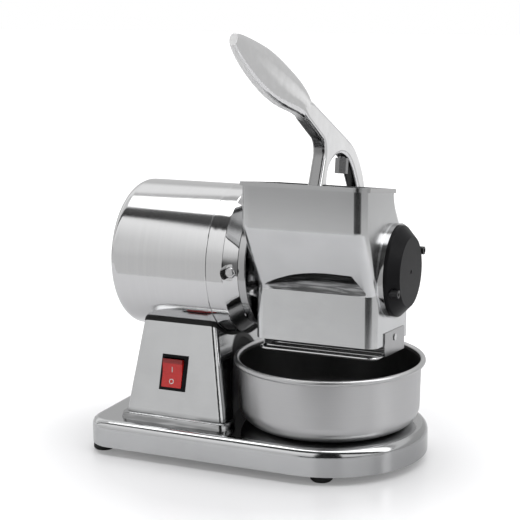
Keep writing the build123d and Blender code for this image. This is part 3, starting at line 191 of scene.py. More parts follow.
class Sheet:
    """The nodes of one material or of the world."""

    def __init__(self, tree):
        self.tree = tree
        tree.nodes.clear()

    def node(self, kind, settings=None, sockets=None, output=0):
        made = self.tree.nodes.new(kind)
        for key, value in (settings or {}).items():
            if key == "stops":
                self.set_stops(made.color_ramp, value)
            else:
                setattr(made, key, value)
        for key, value in (sockets or {}).items():
            if isinstance(value, Wire):
                self.tree.links.new(value.socket, made.inputs[key])
            else:
                made.inputs[key].default_value = value
        return Wire(self, made.outputs[output]) if made.outputs else None

    def set_stops(self, ramp, stops):
        while len(ramp.elements) < len(stops):
            ramp.elements.new(1.0)
        for element, (place, level) in zip(ramp.elements, stops):
            element.position = place
            element.color = (level, level, level, 1.0)

    def ramp(self, value, stops):
        return self.node("ShaderNodeValToRGB", {"stops": stops}, {0: value})

    def split(self, vector):
        whole = self.node("ShaderNodeSeparateXYZ", None, {0: vector})
        outputs = whole.socket.node.outputs
        return [Wire(self, outputs[i]) for i in range(3)]

    def place(self):
        return self.node("ShaderNodeTexCoord", None, None, "Object")

    def facing(self):
        return self.node("ShaderNodeNewGeometry", None, None, "Normal")

    def joined(self, x, y, z):
        return self.node("ShaderNodeCombineXYZ", None, {0: x, 1: y, 2: z})

    def stretched(self, vector, scales):
        return self.node("ShaderNodeVectorMath", {"operation": "MULTIPLY"}, {0: vector, 1: scales})

    def noise(self, vector, scale=1.0, detail=2.0, roughness=0.5):
        return self.node("ShaderNodeTexNoise", None, {
            "Vector": vector, "Scale": scale, "Detail": detail, "Roughness": roughness})

    def rise(self, value, low, high):
        """0 below low and 1 above high, with a soft step between."""
        return self.node("ShaderNodeMapRange", {"interpolation_type": "SMOOTHSTEP"}, {
            "Value": value, "From Min": low, "From Max": high})

    def range(self, value, low, high):
        return self.node("ShaderNodeMapRange", None, {"Value": value, "To Min": low, "To Max": high})

    def within(self, value, low, high, soft):
        """1 between low and high, fading to 0 over the soft width outside."""
        return self.rise(value, low - soft, low) * (1.0 - self.rise(value, high, high + soft))

    def tint(self, factor, first, second):
        """Colour between two colours."""
        return self.node("ShaderNodeMix", {"data_type": "RGBA"}, {
            "Factor": factor, 6: solid(first), 7: solid(second)}, 2)

    def bump(self, height, distance, strength=1.0):
        return self.node("ShaderNodeBump", None, {
            "Height": height, "Distance": distance, "Strength": strength})

    def surface(self, **sockets):
        """Ends the sheet in one shader; names of sockets have _ for a space."""
        values = {key.replace("_", " "): value for key, value in sockets.items()}
        shader = self.node("ShaderNodeBsdfPrincipled", None, values)
        self.node("ShaderNodeOutputMaterial", None, {"Surface": shader})


def solid(colour):
    """A colour for a socket: a wire stays, three numbers get their alpha."""
    return colour if isinstance(colour, Wire) else (*colour[:3], 1.0)


def darker(colour, share):
    return tuple(channel * share for channel in colour[:3])


def new_finish(name):
    material = bpy.data.materials.new(name)
    material.use_nodes = True
    return material, Sheet(material.node_tree)


# Metal finishes
def turned_can(colours):
    """Polished sheet steel with fine lines round the motor's axis."""
    material, sheet = new_finish("turned_can")
    lines = sheet.noise(sheet.stretched(sheet.place(), (2400.0, 9.0, 9.0)), detail=3.0)
    streaks = sheet.noise(sheet.stretched(sheet.place(), (420.0, 5.0, 5.0)), detail=2.0)
    haze = sheet.noise(sheet.place(), 28.0)
    shade = 0.55 * lines + 0.45 * streaks
    sheet.surface(
        Base_Color=sheet.tint(shade, darker(colours.steel, 0.93), darker(colours.steel, 1.06)),
        Metallic=1.0, Roughness=0.05 + 0.07 * shade + 0.03 * haze,
        Normal=sheet.bump(lines, 0.000012, 0.5))
    return material


def polished_bell(colours):
    """Mirror polished casting, with faint lines left by the lathe."""
    material, sheet = new_finish("polished_bell")
    lines = sheet.noise(sheet.stretched(sheet.place(), (1800.0, 12.0, 12.0)), detail=2.0)
    waves = sheet.noise(sheet.place(), 70.0, 1.0)
    sheet.surface(
        Base_Color=sheet.tint(lines, darker(colours.steel, 0.94), darker(colours.steel, 1.00)),
        Metallic=1.0, Roughness=0.04 + 0.05 * lines, Normal=sheet.bump(waves, 0.0004, 0.25))
    return material


def polished_lever(colours):
    """Bright hand polished casting with soft waves; the rims of its arm and legs are rougher and painted dark
    as painted shade, the rim of its grip is painted near white as a painted highlight, and the rim under its
    arch is painted black as painted shade.
    """
    material, sheet = new_finish("polished_lever")
    _, y, _ = sheet.split(sheet.place())
    way_x, way_y, _ = sheet.split(sheet.facing())
    # Painted light: arm and leg rims painted dark as painted shade, grip rim near white as a painted
    # highlight, arch rim black as painted shade
    edge = 1.0 - sheet.rise(way_x.size(), 0.35, 0.75)
    arm = sheet.rise(y, LEVER_GRIP_Y - 0.012, LEVER_GRIP_Y + 0.012)
    rim = edge * arm
    grip = edge * (1.0 - arm)
    arch = rim * (1.0 - sheet.rise(way_y, -0.35, -0.15)) * sheet.rise(y, 0.005, 0.015)
    waves = sheet.noise(sheet.place(), 55.0, 1.0)
    marks = sheet.noise(sheet.stretched(sheet.place(), (900.0, 120.0, 120.0)), detail=3.0)
    bright = sheet.tint(marks, darker(colours.polish, 0.92), darker(colours.polish, 1.06))
    grip_highlighted = sheet.tint(grip, bright, GRIP_RIM_HIGHLIGHT)
    rim_shaded = sheet.tint(rim, grip_highlighted, darker(colours.polish, 0.36))
    sheet.surface(
        Base_Color=sheet.tint(arch, rim_shaded, ARCH_SHADE),
        Metallic=1.0 - grip, Roughness=0.05 + 0.06 * marks + 0.12 * rim + 0.50 * grip,
        Normal=sheet.bump(waves, 0.0005, 0.3))
    return material


def scoop_shade_mask(sheet):
    """1 in the hollow of the hopper's front slope, where the hollow is painted dark as painted shade."""
    x, y, z = sheet.split(sheet.place())
    _, way_y, _ = sheet.split(sheet.facing())
    up = (SLOPE_TOP - LEDGE).normalized()
    depth = (y - LEDGE.y) * up.z - (z - LEDGE.z) * up.y
    outside = 1.0 - sheet.rise(way_y, -0.12, -0.03)
    beside = sheet.within(x, HOPPER_LOW.x, HOPPER_HIGH.x - 0.014, 0.001)
    return sheet.rise(depth, 0.0003, 0.0009) * outside * beside * sheet.within(
        z, LEDGE.z, LEDGE.z + SCOOP_HEIGHT, 0.0005)


def satin_hopper(colours):
    """Satin casting; its flange and its boss are polished bright."""
    material, sheet = new_finish("satin_hopper")
    x, _, z = sheet.split(sheet.place())
    brush = sheet.noise(sheet.stretched(sheet.place(), (45.0, 2600.0, 2600.0)), detail=3.0)
    clouds = sheet.rise(sheet.noise(sheet.place(), 42.0, 3.0), 0.28, 0.72)
    flange = 1.0 - sheet.rise(x, HOPPER_WALL_X - 0.0012, HOPPER_WALL_X - 0.0006)
    boss = sheet.rise(x, BOSS_X + 0.0006, BOSS_X + 0.0012)
    polish = flange.larger(boss)
    lip_shade = sheet.rise(z, HOPPER_HIGH.z - 0.05, HOPPER_HIGH.z)
    shade = 0.5 * brush + 0.5 * clouds
    satin = sheet.tint(shade, darker(colours.aluminium, 1.07), darker(colours.aluminium, 1.24))
    lip = sheet.tint(lip_shade, satin, darker(colours.aluminium, 0.80))
    # Painted shade: the hollow of the front slope is painted dark, with lighter streaks as painted
    # reflections
    strokes = sheet.noise(sheet.stretched(sheet.place(), (26.0, 420.0, 640.0)), detail=2.0)
    streaks = sheet.rise(strokes, 0.40, 0.66)
    hollow_shade = sheet.tint(streaks, darker(colours.aluminium, 0.24), darker(colours.aluminium, 0.58))
    scoop_shaded = sheet.tint(scoop_shade_mask(sheet), lip, hollow_shade)
    sheet.surface(
        Base_Color=sheet.tint(polish, scoop_shaded, darker(colours.polish, 0.55)), Metallic=1.0,
        Roughness=(1.0 - polish) * (0.17 + 0.09 * shade) + polish * 0.12,
        Normal=sheet.bump(shade, 0.00003, 0.35))
    return material


def satin_column(colours):
    """Satin casting, brushed level."""
    material, sheet = new_finish("satin_column")
    brush = sheet.noise(sheet.stretched(sheet.place(), (50.0, 2200.0, 2200.0)), detail=3.0)
    clouds = sheet.rise(sheet.noise(sheet.place(), 36.0, 3.0), 0.28, 0.72)
    shade = 0.5 * brush + 0.5 * clouds
    x, y, z = sheet.split(sheet.place())
    # Painted shade: the foot bead is painted darker with streaks as painted reflections, and the side next to
    # the bowl is painted nearly black
    bead = 1.0 - sheet.rise(z, COLUMN_LOW.z + 0.006, COLUMN_LOW.z + 0.010)
    out_x = x - BOWL_X
    bowl_gap_shade = 1.0 - sheet.rise((out_x * out_x + y * y).root(), BOWL_RADIUS + 0.0025, BOWL_RADIUS + 0.0035)
    body = sheet.tint(shade, darker(colours.aluminium, 0.95), darker(colours.aluminium, 1.08))
    ripples = sheet.noise(sheet.stretched(sheet.place(), (38.0, 38.0, 260.0)), detail=1.0)
    mottle = sheet.rise(ripples, 0.34, 0.66)
    foot_shade = sheet.tint(mottle, darker(colours.aluminium, 0.50), darker(colours.aluminium, 0.82))
    sheet.surface(
        Base_Color=sheet.tint(bowl_gap_shade, sheet.tint(bead, body, foot_shade), darker(colours.aluminium, 0.10)),
        Metallic=1.0, Roughness=0.10 + 0.10 * shade + 0.3 * bowl_gap_shade, Normal=sheet.bump(shade, 0.00003, 0.3))
    return material


def polished_base(colours):
    """Polished casting with level brush lines on its sides."""
    material, sheet = new_finish("polished_base")
    brush = sheet.noise(sheet.stretched(sheet.place(), (25.0, 900.0, 1800.0)), detail=3.0)
    clouds = sheet.rise(sheet.noise(sheet.place(), 30.0, 3.0), 0.28, 0.72)
    shade = 0.6 * brush + 0.4 * clouds
    x, _, _ = sheet.split(sheet.place())
    _, _, way_z = sheet.split(sheet.facing())
    # Painted shade: the top faces and the round right end are painted darker
    top_shade = sheet.rise(way_z, 0.90, 0.98)
    end_shade = sheet.rise(x, BOWL_X, BASE_HIGH.x) * (1.0 - top_shade)
    side = sheet.tint(shade, darker(colours.aluminium, 0.88), darker(colours.aluminium, 1.04))
    sheet.surface(
        Base_Color=sheet.tint(top_shade, sheet.tint(end_shade, side, darker(colours.aluminium, 0.66)),
                              darker(colours.aluminium, 0.80)),
        Metallic=1.0, Roughness=0.07 + 0.09 * shade, Normal=sheet.bump(clouds, 0.0003, 0.2))
    return material


def spun_bowl(colours):
    """Spun sheet steel: satin lines round it; the inside is painted dark as painted shade."""
    material, sheet = new_finish("spun_bowl")
    x, y, z = sheet.split(sheet.place())
    out_x = x - BOWL_X
    reach = (out_x * out_x + y * y).root()
    lines = sheet.noise(sheet.joined(reach * 2600.0, z * 2600.0, 0.0), detail=3.0)
    clouds = sheet.noise(sheet.place(), 30.0, 2.0)
    way_x, way_y, way_z = sheet.split(sheet.facing())
    outward = (way_x * out_x + way_y * y) / reach
    below_rim = 1.0 - sheet.rise(z, BOWL_HIGH.z - 0.006, BOWL_HIGH.z - 0.003)
    inner_side = 1.0 - sheet.rise(outward, -0.25, -0.05)
    inner_floor = sheet.rise(way_z, 0.3, 0.6)
    inside_shade = below_rim * inner_side.larger(inner_floor)
    shade = 0.6 * lines + 0.4 * clouds
    outer = sheet.tint(shade, darker(colours.steel, 0.74), darker(colours.steel, 0.88))
    inner_shade = sheet.tint(clouds, darker(colours.steel, 0.16), darker(colours.steel, 0.30))
    sheet.surface(
        Base_Color=sheet.tint(inside_shade, outer, inner_shade), Metallic=1.0,
        Roughness=0.28 + 0.09 * shade, Normal=sheet.bump(lines, 0.000015, 0.5))
    return material


def rough_casting(colours):
    """Aluminium as it comes from the mould, for the presser and the motor's rear shield."""
    material, sheet = new_finish("rough_casting")
    grains = sheet.noise(sheet.place(), 900.0, 4.0)
    clouds = sheet.noise(sheet.place(), 60.0, 3.0)
    shade = 0.5 * grains + 0.5 * clouds
    sheet.surface(
        Base_Color=sheet.tint(shade, darker(colours.aluminium, 0.80), darker(colours.aluminium, 1.05)),
        Metallic=1.0, Roughness=0.32 + 0.12 * shade, Normal=sheet.bump(grains, 0.00006, 0.4))
    return material


def bright_wire(colours):
    """Polished steel wire, strip and plate of the guard."""
    material, sheet = new_finish("bright_wire")
    brush = sheet.noise(sheet.stretched(sheet.place(), (1500.0, 90.0, 1500.0)), detail=3.0)
    sheet.surface(
        Base_Color=sheet.tint(brush, darker(colours.steel, 0.92), darker(colours.steel, 1.12)),
        Metallic=1.0, Roughness=0.10 + 0.12 * brush, Normal=sheet.bump(brush, 0.00002, 0.3))
    return material


def brushed_strip(colours):
    """Brushed sheet of the guard's tabs."""
    material, sheet = new_finish("brushed_strip")
    brush = sheet.noise(sheet.stretched(sheet.place(), (1500.0, 60.0, 1500.0)), detail=3.0)
    sheet.surface(
        Base_Color=sheet.tint(brush, darker(colours.steel, 0.58), darker(colours.steel, 0.70)),
        Metallic=1.0, Roughness=0.16 + 0.12 * brush, Normal=sheet.bump(brush, 0.00002, 0.3))
    return material


def grating_steel(colours):
    """Plain rolled steel of the drum, a little dull from use."""
    material, sheet = new_finish("grating_steel")
    lines = sheet.noise(sheet.stretched(sheet.place(), (1400.0, 60.0, 60.0)), detail=3.0)
    spots = sheet.noise(sheet.place(), 260.0, 3.0)
    sheet.surface(
        Base_Color=sheet.tint(spots, darker(colours.steel, 0.75), darker(colours.steel, 1.02)),
        Metallic=1.0, Roughness=0.20 + 0.15 * lines, Normal=sheet.bump(lines, 0.00003, 0.4))
    return material


def plain_plate(colours):
    """Galvanised sheet with large soft crystals."""
    material, sheet = new_finish("plain_plate")
    crystals = sheet.node("ShaderNodeTexVoronoi", None, {"Vector": sheet.place(), "Scale": 90.0}, "Color")
    shade, _, _ = sheet.split(crystals)
    sheet.surface(
        Base_Color=sheet.tint(shade, darker(colours.zinc, 0.75), darker(colours.zinc, 1.05)),
        Metallic=1.0, Roughness=0.28 + 0.14 * shade)
    return material


def plated_screws(colours):
    """Zinc plated steel with fine turning marks."""
    material, sheet = new_finish("plated_screws")
    marks = sheet.noise(sheet.place(), 1600.0, 3.0)
    clouds = sheet.noise(sheet.place(), 180.0, 2.0)
    sheet.surface(
        Base_Color=sheet.tint(clouds, darker(colours.zinc, 0.82), darker(colours.zinc, 1.15)),
        Metallic=1.0, Roughness=0.10 + 0.12 * marks, Normal=sheet.bump(marks, 0.00001, 0.4))
    return material


def dull_bolt(colours):
    """Plain steel of the lever's stop bolt, gone grey."""
    material, sheet = new_finish("dull_bolt")
    marks = sheet.noise(sheet.place(), 900.0, 3.0)
    sheet.surface(
        Base_Color=sheet.tint(marks, darker(colours.zinc, 0.35), darker(colours.zinc, 0.55)),
        Metallic=1.0, Roughness=0.22 + 0.14 * marks, Normal=sheet.bump(marks, 0.00002, 0.4))
    return material


def ground_steel(colours):
    """Ground shaft and bearing steel."""
    material, sheet = new_finish("ground_steel")
    lines = sheet.noise(sheet.stretched(sheet.place(), (3000.0, 40.0, 40.0)), detail=2.0)
    sheet.surface(
        Base_Color=sheet.tint(lines, darker(colours.zinc, 0.95), darker(colours.zinc, 1.2)),
        Metallic=1.0, Roughness=0.08 + 0.12 * lines)
    return material


def black_oxide(colours):
    """Black treated socket screws."""
    material, sheet = new_finish("black_oxide")
    marks = sheet.noise(sheet.place(), 1200.0, 3.0)
    sheet.surface(
        Base_Color=sheet.tint(marks, (0.012, 0.012, 0.013), (0.035, 0.035, 0.037)),
        Metallic=0.6, Roughness=0.25 + 0.15 * marks, Normal=sheet.bump(marks, 0.00002, 0.3))
    return material


# Plastics, rubber and what is inside
def moulded_black(colours):
    """Black moulding with a fine spark-eroded grain."""
    material, sheet = new_finish("moulded_black")
    grain = sheet.noise(sheet.place(), 2400.0, 2.0)
    clouds = sheet.noise(sheet.place(), 60.0, 2.0)
    sheet.surface(
        Base_Color=sheet.tint(clouds, darker(colours.plastic, 0.8), darker(colours.plastic, 1.5)),
        Roughness=0.30 + 0.14 * grain, Specular_IOR_Level=0.08, Normal=sheet.bump(grain, 0.00004, 0.35))
    return material


def gloss_rocker(colours):
    """Glossy red moulding of the rocker; its upper end is painted darker as painted shade."""
    material, sheet = new_finish("gloss_rocker")
    _, _, z = sheet.split(sheet.place())
    clouds = sheet.noise(sheet.place(), 160.0, 2.0)
    upper_shade = sheet.rise(z, ROCKER_HIGH.z - 0.0050, ROCKER_HIGH.z - 0.0030)
    body = sheet.tint(clouds, darker(colours.rocker, 0.90), darker(colours.rocker, 1.08))
    sheet.surface(
        Base_Color=sheet.tint(upper_shade, body, darker(colours.rocker, 0.45)),
        Roughness=0.22 + 0.06 * clouds, Coat_Weight=0.25, Coat_Roughness=0.12)
    return material


def white_mark(colours):
    """White filling of the switch marks."""
    material, sheet = new_finish("white_mark")
    clouds = sheet.noise(sheet.place(), 900.0, 2.0)
    sheet.surface(
        Base_Color=sheet.tint(clouds, (0.82, 0.82, 0.80), (0.92, 0.92, 0.91)),
        Roughness=0.35 + 0.1 * clouds)
    return material


def white_moulding(colours):
    """Off-white moulding of the drum's hubs and the terminal block."""
    material, sheet = new_finish("white_moulding")
    grain = sheet.noise(sheet.place(), 1500.0, 2.0)
    clouds = sheet.noise(sheet.place(), 50.0, 2.0)
    sheet.surface(
        Base_Color=sheet.tint(clouds, (0.72, 0.71, 0.66), (0.84, 0.83, 0.79)),
        Roughness=0.35 + 0.12 * grain, Normal=sheet.bump(grain, 0.00003, 0.3))
    return material


def matt_rubber(colours):
    """Black rubber of the feet, the gasket and the shaft seal."""
    material, sheet = new_finish("matt_rubber")
    grain = sheet.noise(sheet.place(), 1900.0, 3.0)
    sheet.surface(
        Base_Color=sheet.tint(grain, (0.006, 0.006, 0.006), (0.018, 0.018, 0.018)),
        Roughness=0.50 + 0.2 * grain, Specular_IOR_Level=0.3, Normal=sheet.bump(grain, 0.00006, 0.5))
    return material


def sheet_stack(colours):
    """Varnished iron sheets of the motor, stacked along its axis."""
    material, sheet = new_finish("sheet_stack")
    x, _, _ = sheet.split(sheet.place())
    edge = (x * 2000.0).sum("FRACT", x * 2000.0)
    gap = sheet.within(edge, 0.42, 0.58, 0.12)
    rust = sheet.noise(sheet.place(), 120.0, 3.0)
    iron = sheet.tint(rust, (0.14, 0.14, 0.15), (0.24, 0.23, 0.23))
    sheet.surface(
        Base_Color=sheet.tint(gap, iron, (0.04, 0.04, 0.04)),
        Metallic=0.8, Roughness=0.35 + 0.2 * rust, Normal=sheet.bump(1.0 - gap, 0.00008, 0.5))
    return material


def wound_copper(colours):
    """Enamelled copper wire, wound round the motor's axis."""
    material, sheet = new_finish("wound_copper")
    x, y, z = sheet.split(sheet.place())
    up = z - AXIS_Z
    turn = (x + (y * y + up * up).root()) * 1250.0
    edge = turn.sum("FRACT", turn)
    crown = 1.0 - (2.0 * edge - 1.0).size()
    haze = sheet.noise(sheet.place(), 90.0, 2.0)
    enamel = sheet.tint(haze, (0.55, 0.22, 0.08), (0.70, 0.32, 0.14))
    sheet.surface(
        Base_Color=sheet.tint(crown, (0.20, 0.06, 0.02), enamel),
        Metallic=1.0, Roughness=0.25 + 0.1 * haze, Normal=sheet.bump(crown, 0.0002, 0.6))
    return material


def turned_brass(colours):
    """Turned brass of the terminals and the drum's bush."""
    material, sheet = new_finish("turned_brass")
    lines = sheet.noise(sheet.stretched(sheet.place(), (1600.0, 60.0, 1600.0)), detail=2.0)
    sheet.surface(
        Base_Color=sheet.tint(lines, (0.60, 0.42, 0.16), (0.76, 0.58, 0.26)),
        Metallic=1.0, Roughness=0.18 + 0.14 * lines)
    return material


def capacitor_can(colours):
    """Pale grey moulded can of the capacitor."""
    material, sheet = new_finish("capacitor_can")
    grain = sheet.noise(sheet.place(), 1200.0, 2.0)
    clouds = sheet.noise(sheet.place(), 70.0, 2.0)
    sheet.surface(
        Base_Color=sheet.tint(clouds, (0.58, 0.59, 0.60), (0.68, 0.69, 0.69)),
        Roughness=0.30 + 0.12 * grain, Normal=sheet.bump(grain, 0.00003, 0.3))
    return material


FINISHES = (
    (turned_can, ("motor_can",)),
    (polished_bell, ("motor_bell",)),
    (polished_lever, ("lever",)),
    (satin_hopper, ("hopper",)),
    (satin_column, ("column",)),
    (polished_base, ("base_casting",)),
    (spun_bowl, ("bowl",)),
    (rough_casting, ("presser", "rear_shield")),
    (bright_wire, ("guard_frame", "guard_rods", "guard_rivets")),
    (brushed_strip, ("guard_tabs",)),
    (grating_steel, ("drum_sleeve",)),
    (plain_plate, ("bottom_plate",)),
    (plated_screws, (
        "foot_screws", "column_bolts", "motor_bolts", "motor_bolt_nuts", "bell_screws", "tie_studs",
        "flange_bolts", "hinge_pin", "hinge_clips", "presser_bolt", "presser_nut", "capacitor_nut")),
    (dull_bolt, ("stop_bolt", "stop_nut")),
    (ground_steel, ("motor_shaft", "bearing_outer_rings", "bearing_inner_rings", "bearing_balls")),
    (black_oxide, ("cap_screws",)),
    (moulded_black, ("end_cap", "switch_frame", "cable_gland", "gland_nut")),
    (gloss_rocker, ("switch_rocker",)),
    (white_moulding, ("terminal_block", "drum_drive_hub", "drum_end_hub")),
    (matt_rubber, ("rubber_feet", "motor_gasket", "shaft_seal")),
    (sheet_stack, ("stator_core", "rotor")),
    (wound_copper, ("stator_windings",)),
    (turned_brass, ("terminal_inserts", "switch_terminals", "cap_bush")),
    (capacitor_can, ("capacitor",)),
)


class GRATER_OT_dress(bpy.types.Operator):
    """Gives every piece of the frame its finish."""

    bl_idname = "grater.dress"
    bl_label = "Dress the pieces"

    def execute(self, context):
        colours = context.scene.grater_colours
        bare = set(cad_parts)
        for make, nodes in FINISHES:
            finish = make(colours)
            for node in nodes:
                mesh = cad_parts[node].data
                mesh.materials.clear()
                mesh.materials.append(finish)
                bare.discard(node)
        if bare:
            raise RuntimeError("pieces without a finish: " + ", ".join(sorted(bare)))
        return {"FINISHED"}


# Pieces that are made here
def new_piece(name, mesh_maker, finish, body):
    mesh = bpy.data.meshes.new(name)
    shape = bmesh.new()
    mesh_maker(shape)
    bmesh.ops.recalc_face_normals(shape, faces=shape.faces)
    shape.to_mesh(mesh)
    shape.free()
    piece = bpy.data.objects.new(name, mesh)
    bpy.context.scene.collection.objects.link(piece)
    mesh.materials.append(finish)
    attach(piece, body)
    return piece


def drum_place(along, turn, radius):
    return Vector((along, radius * math.cos(turn), AXIS_Z + radius * math.sin(turn)))


TOOTH_SIDES = 8
TOOTH_MOUTH = 0.55
TOOTH_ROOT = 0.0003
TOOTH_DIP = 0.45
TOOTH_PIT = 0.6
TOOTH_PIT_FLOOR = 0.0002
DRUM_MARGIN = 0.004


def add_tooth(shape, along, turn, sizes):
    """One burr pushed out of the drum: a ragged cone with a pit in it."""
    rings = []
    outline = ((1.0, -TOOTH_ROOT), (1.0, 0.0), (TOOTH_MOUTH, sizes.height),
               (TOOTH_MOUTH * TOOTH_PIT, TOOTH_PIT_FLOOR))
    for share, height in outline:
        ring = []
        for side in range(TOOTH_SIDES):
            angle = 2 * math.pi * side / TOOTH_SIDES
            ragged = 1.0 - TOOTH_DIP * (side % 2) if share == TOOTH_MOUTH else 1.0
            x = along + sizes.radius * share * math.cos(angle)
            swing = sizes.radius * share * math.sin(angle) / DRUM_RADIUS
            ring.append(shape.verts.new(drum_place(x, turn + swing, DRUM_RADIUS + height * ragged)))
        rings.append(ring)
    for low, high in zip(rings, rings[1:]):
        for side in range(TOOTH_SIDES):
            after = (side + 1) % TOOTH_SIDES
            shape.faces.new((low[side], low[after], high[after], high[side]))
    shape.faces.new(rings[0][::-1])
    shape.faces.new(rings[-1])


class GRATER_OT_teeth(bpy.types.Operator):
    """Makes the grating points round the drum."""

    bl_idname = "grater.teeth"
    bl_label = "Drum points"

    def execute(self, context):
        sizes = context.scene.grater_teeth
        start = DRUM_LOW.x + DRUM_MARGIN
        step = (DRUM_HIGH.x - DRUM_LOW.x - 2 * DRUM_MARGIN) / (sizes.rows - 1)
        pitch = 2 * math.pi / sizes.around

        def points(shape):
            for row in range(sizes.rows):
                for place in range(sizes.around):
                    add_tooth(shape, start + row * step, (place + 0.5 * (row % 2)) * pitch, sizes)

        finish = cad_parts["drum_sleeve"].data.materials[0]
        new_piece("drum_points", points, finish, "rotor")
        return {"FINISHED"}


FRONT_FACING = -0.5
SIDEWAYS_MOST = 0.01


def widest_way(node):
    """The way that most of a piece's flat front faces look."""
    areas = {}
    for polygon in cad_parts[node].data.polygons:
        key = tuple(round(part, 2) for part in polygon.normal)
        if key[1] < FRONT_FACING and abs(key[0]) < SIDEWAYS_MOST:
            areas[key] = areas.get(key, 0.0) + polygon.area
    return Vector(max(areas, key=areas.get)).normalized()


MARK_SINK = 0.0002
MARK_REACH = 0.02
RING_SIDES = 40
BAR_STEPS = 8
MARK_RISE = 0.325
ON_MARK_RISE = 0.090


class RockerFace:
    """Places on the rocker's front, by metres across and up."""

    def __init__(self):
        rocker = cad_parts["switch_rocker"]
        self.middle = (ROCKER_LOW + ROCKER_HIGH) / 2
        self.height = ROCKER_HIGH.z - ROCKER_LOW.z
        self.out = widest_way("switch_frame")
        self.across = Vector((1.0, 0.0, 0.0))
        self.up = self.out.cross(self.across)
        mesh = rocker.data
        self.tree = BVHTree.FromPolygons([v.co for v in mesh.vertices], [p.vertices for p in mesh.polygons])

    def point(self, across, up, lift):
        start = self.middle + self.across * across + self.up * up + self.out * MARK_REACH
        place, _, _, _ = self.tree.ray_cast(start, -self.out)
        if place is None:
            raise RuntimeError("a switch mark misses the rocker")
        return place + self.out * lift


def band_strip(shape, face, edges, relief, closed):
    """A thin raised strip on the rocker between pairs of edge points."""
    rows = []
    for left, right in edges:
        corners = ((left, -MARK_SINK), (left, relief), (right, relief), (right, -MARK_SINK))
        rows.append([shape.verts.new(face.point(*spot, lift)) for spot, lift in corners])
    pairs = list(zip(rows, rows[1:] + rows[:1])) if closed else list(zip(rows, rows[1:]))
    for low, high in pairs:
        for side in range(4):
            after = (side + 1) % 4
            shape.faces.new((low[side], low[after], high[after], high[side]))
    if not closed:
        shape.faces.new(rows[0])
        shape.faces.new(rows[-1])


class GRATER_OT_marks(bpy.types.Operator):
    """Makes the on and off marks of the switch."""

    bl_idname = "grater.marks"
    bl_label = "Switch marks"

    def execute(self, context):
        sizes = context.scene.grater_marks
        face = RockerFace()
        finish = white_mark(context.scene.grater_colours)
        rise = face.height * MARK_RISE

        def ring(shape):
            edges = []
            for side in range(RING_SIDES):
                turn = 2 * math.pi * side / RING_SIDES
                spots = [(radius * math.cos(turn), radius * math.sin(turn) - rise)
                         for radius in (sizes.ring_radius - sizes.stroke, sizes.ring_radius)]
                edges.append(spots)
            band_strip(shape, face, edges, sizes.relief, True)

        def bar(shape):
            edges = []
            for step in range(BAR_STEPS + 1):
                up = ON_MARK_RISE * face.height + sizes.bar_length * (step / BAR_STEPS - 0.5)
                edges.append([(-sizes.stroke / 2, up), (sizes.stroke / 2, up)])
            band_strip(shape, face, edges, sizes.relief, False)

        new_piece("rocker_off_mark", ring, finish, "rocker")
        new_piece("rocker_on_mark", bar, finish, "rocker")
        return {"FINISHED"}


# Studio
STUDIO_BANDS = (
    # angle over the machine from front to back, level
    (-180, 0.62), (-176, 0.95), (-171, 0.95), (-169, 0.55), (-150, 0.55), (-90, 0.8), (-40, 0.66),
    (0, 0.66), (20, 0.80), (50, 1.10), (58, 1.15), (60, 0.03), (79, 0.13), (82, 3.2), (105, 3.2),
    (107, 0.50), (113, 0.58), (118, 1.05), (138, 1.02), (148, 0.64), (180, 0.62))
SOFTBOX_MIDDLE = 93.0
SOFTBOX_SPREAD = 4.9
SOFTBOX_SIDE = -0.46
SOFTBOX_END = -0.479
SOFTBOX_REST = 0.8
FLAGS = (
    # azimuth from and to, height from and to, softness, level
    (-10.0, 62.0, -20.0, 0.0, 9.0, 0.03),
    (62.0, 150.0, -35.0, 5.0, 12.0, 0.60),
    (6.0, 34.0, 0.0, 50.0, 3.0, 0.02),
)
TABLE = (-0.9, 0.45, -0.36, 0.8)
TABLE_EDGE = 0.01
# Glow of the floor for the camera by distance from the middle; lower near the machine, a painted shadow round
# it
TABLE_GLOW = ((0.0, 0.12), (0.16, 0.19), (0.34, 0.62))


def flag_mask(sheet, turn, height, flag):
    left, right, low, high, soft, _ = flag
    return sheet.within(turn, left, right, soft) * sheet.within(height, low, high, soft)


def studio_world(strength):
    world = bpy.data.worlds.new("studio_light")
    world.use_nodes = True
    sheet = Sheet(world.node_tree)
    way = sheet.node("ShaderNodeTexCoord", None, None, "Generated")
    x, y, z = sheet.split(way)
    degrees = 180.0 / math.pi
    tip = sheet.node("ShaderNodeMath", {"operation": "ARCTAN2"}, {0: z, 1: 0.0 - y}) * degrees
    turn = sheet.node("ShaderNodeMath", {"operation": "ARCTAN2"}, {0: x, 1: 0.0 - y}) * degrees
    height = sheet.node("ShaderNodeMath", {"operation": "ARCSINE"}, {0: z}) * degrees
    spread = sheet.node("ShaderNodeClamp", None, {
        "Value": 1.0 - SOFTBOX_SPREAD * (x - SOFTBOX_SIDE), "Min": 0.8, "Max": 1.25})
    above = sheet.within(tip, 30.0, 125.0, 20.0)
    spread = above * spread + (1.0 - above)
    tip = (tip - SOFTBOX_MIDDLE) * spread + SOFTBOX_MIDDLE
    shade = sheet.ramp((tip + 180.0) / 360.0, [((angle + 180) / 360, level) for angle, level in STUDIO_BANDS])
    past_end = (1.0 - sheet.rise(x, SOFTBOX_END - 0.008, SOFTBOX_END)) * sheet.within(tip, 80.0, 107.0, 1.0)
    shade = sheet.tint(past_end, shade, (SOFTBOX_REST,) * 3)
    for flag in FLAGS:
        shade = sheet.tint(flag_mask(sheet, turn, height, flag), shade, (flag[-1],) * 3)
    glow = sheet.node("ShaderNodeBackground", None, {"Color": shade, "Strength": strength})
    white = sheet.node("ShaderNodeBackground", None, {"Color": (1, 1, 1, 1), "Strength": 1.0})
    seen = sheet.node("ShaderNodeLightPath", None, None, "Is Camera Ray")
    mixed = sheet.node("ShaderNodeMixShader", None, {0: seen, 1: glow, 2: white})
    sheet.node("ShaderNodeOutputWorld", None, {"Surface": mixed})
    bpy.context.scene.world = world


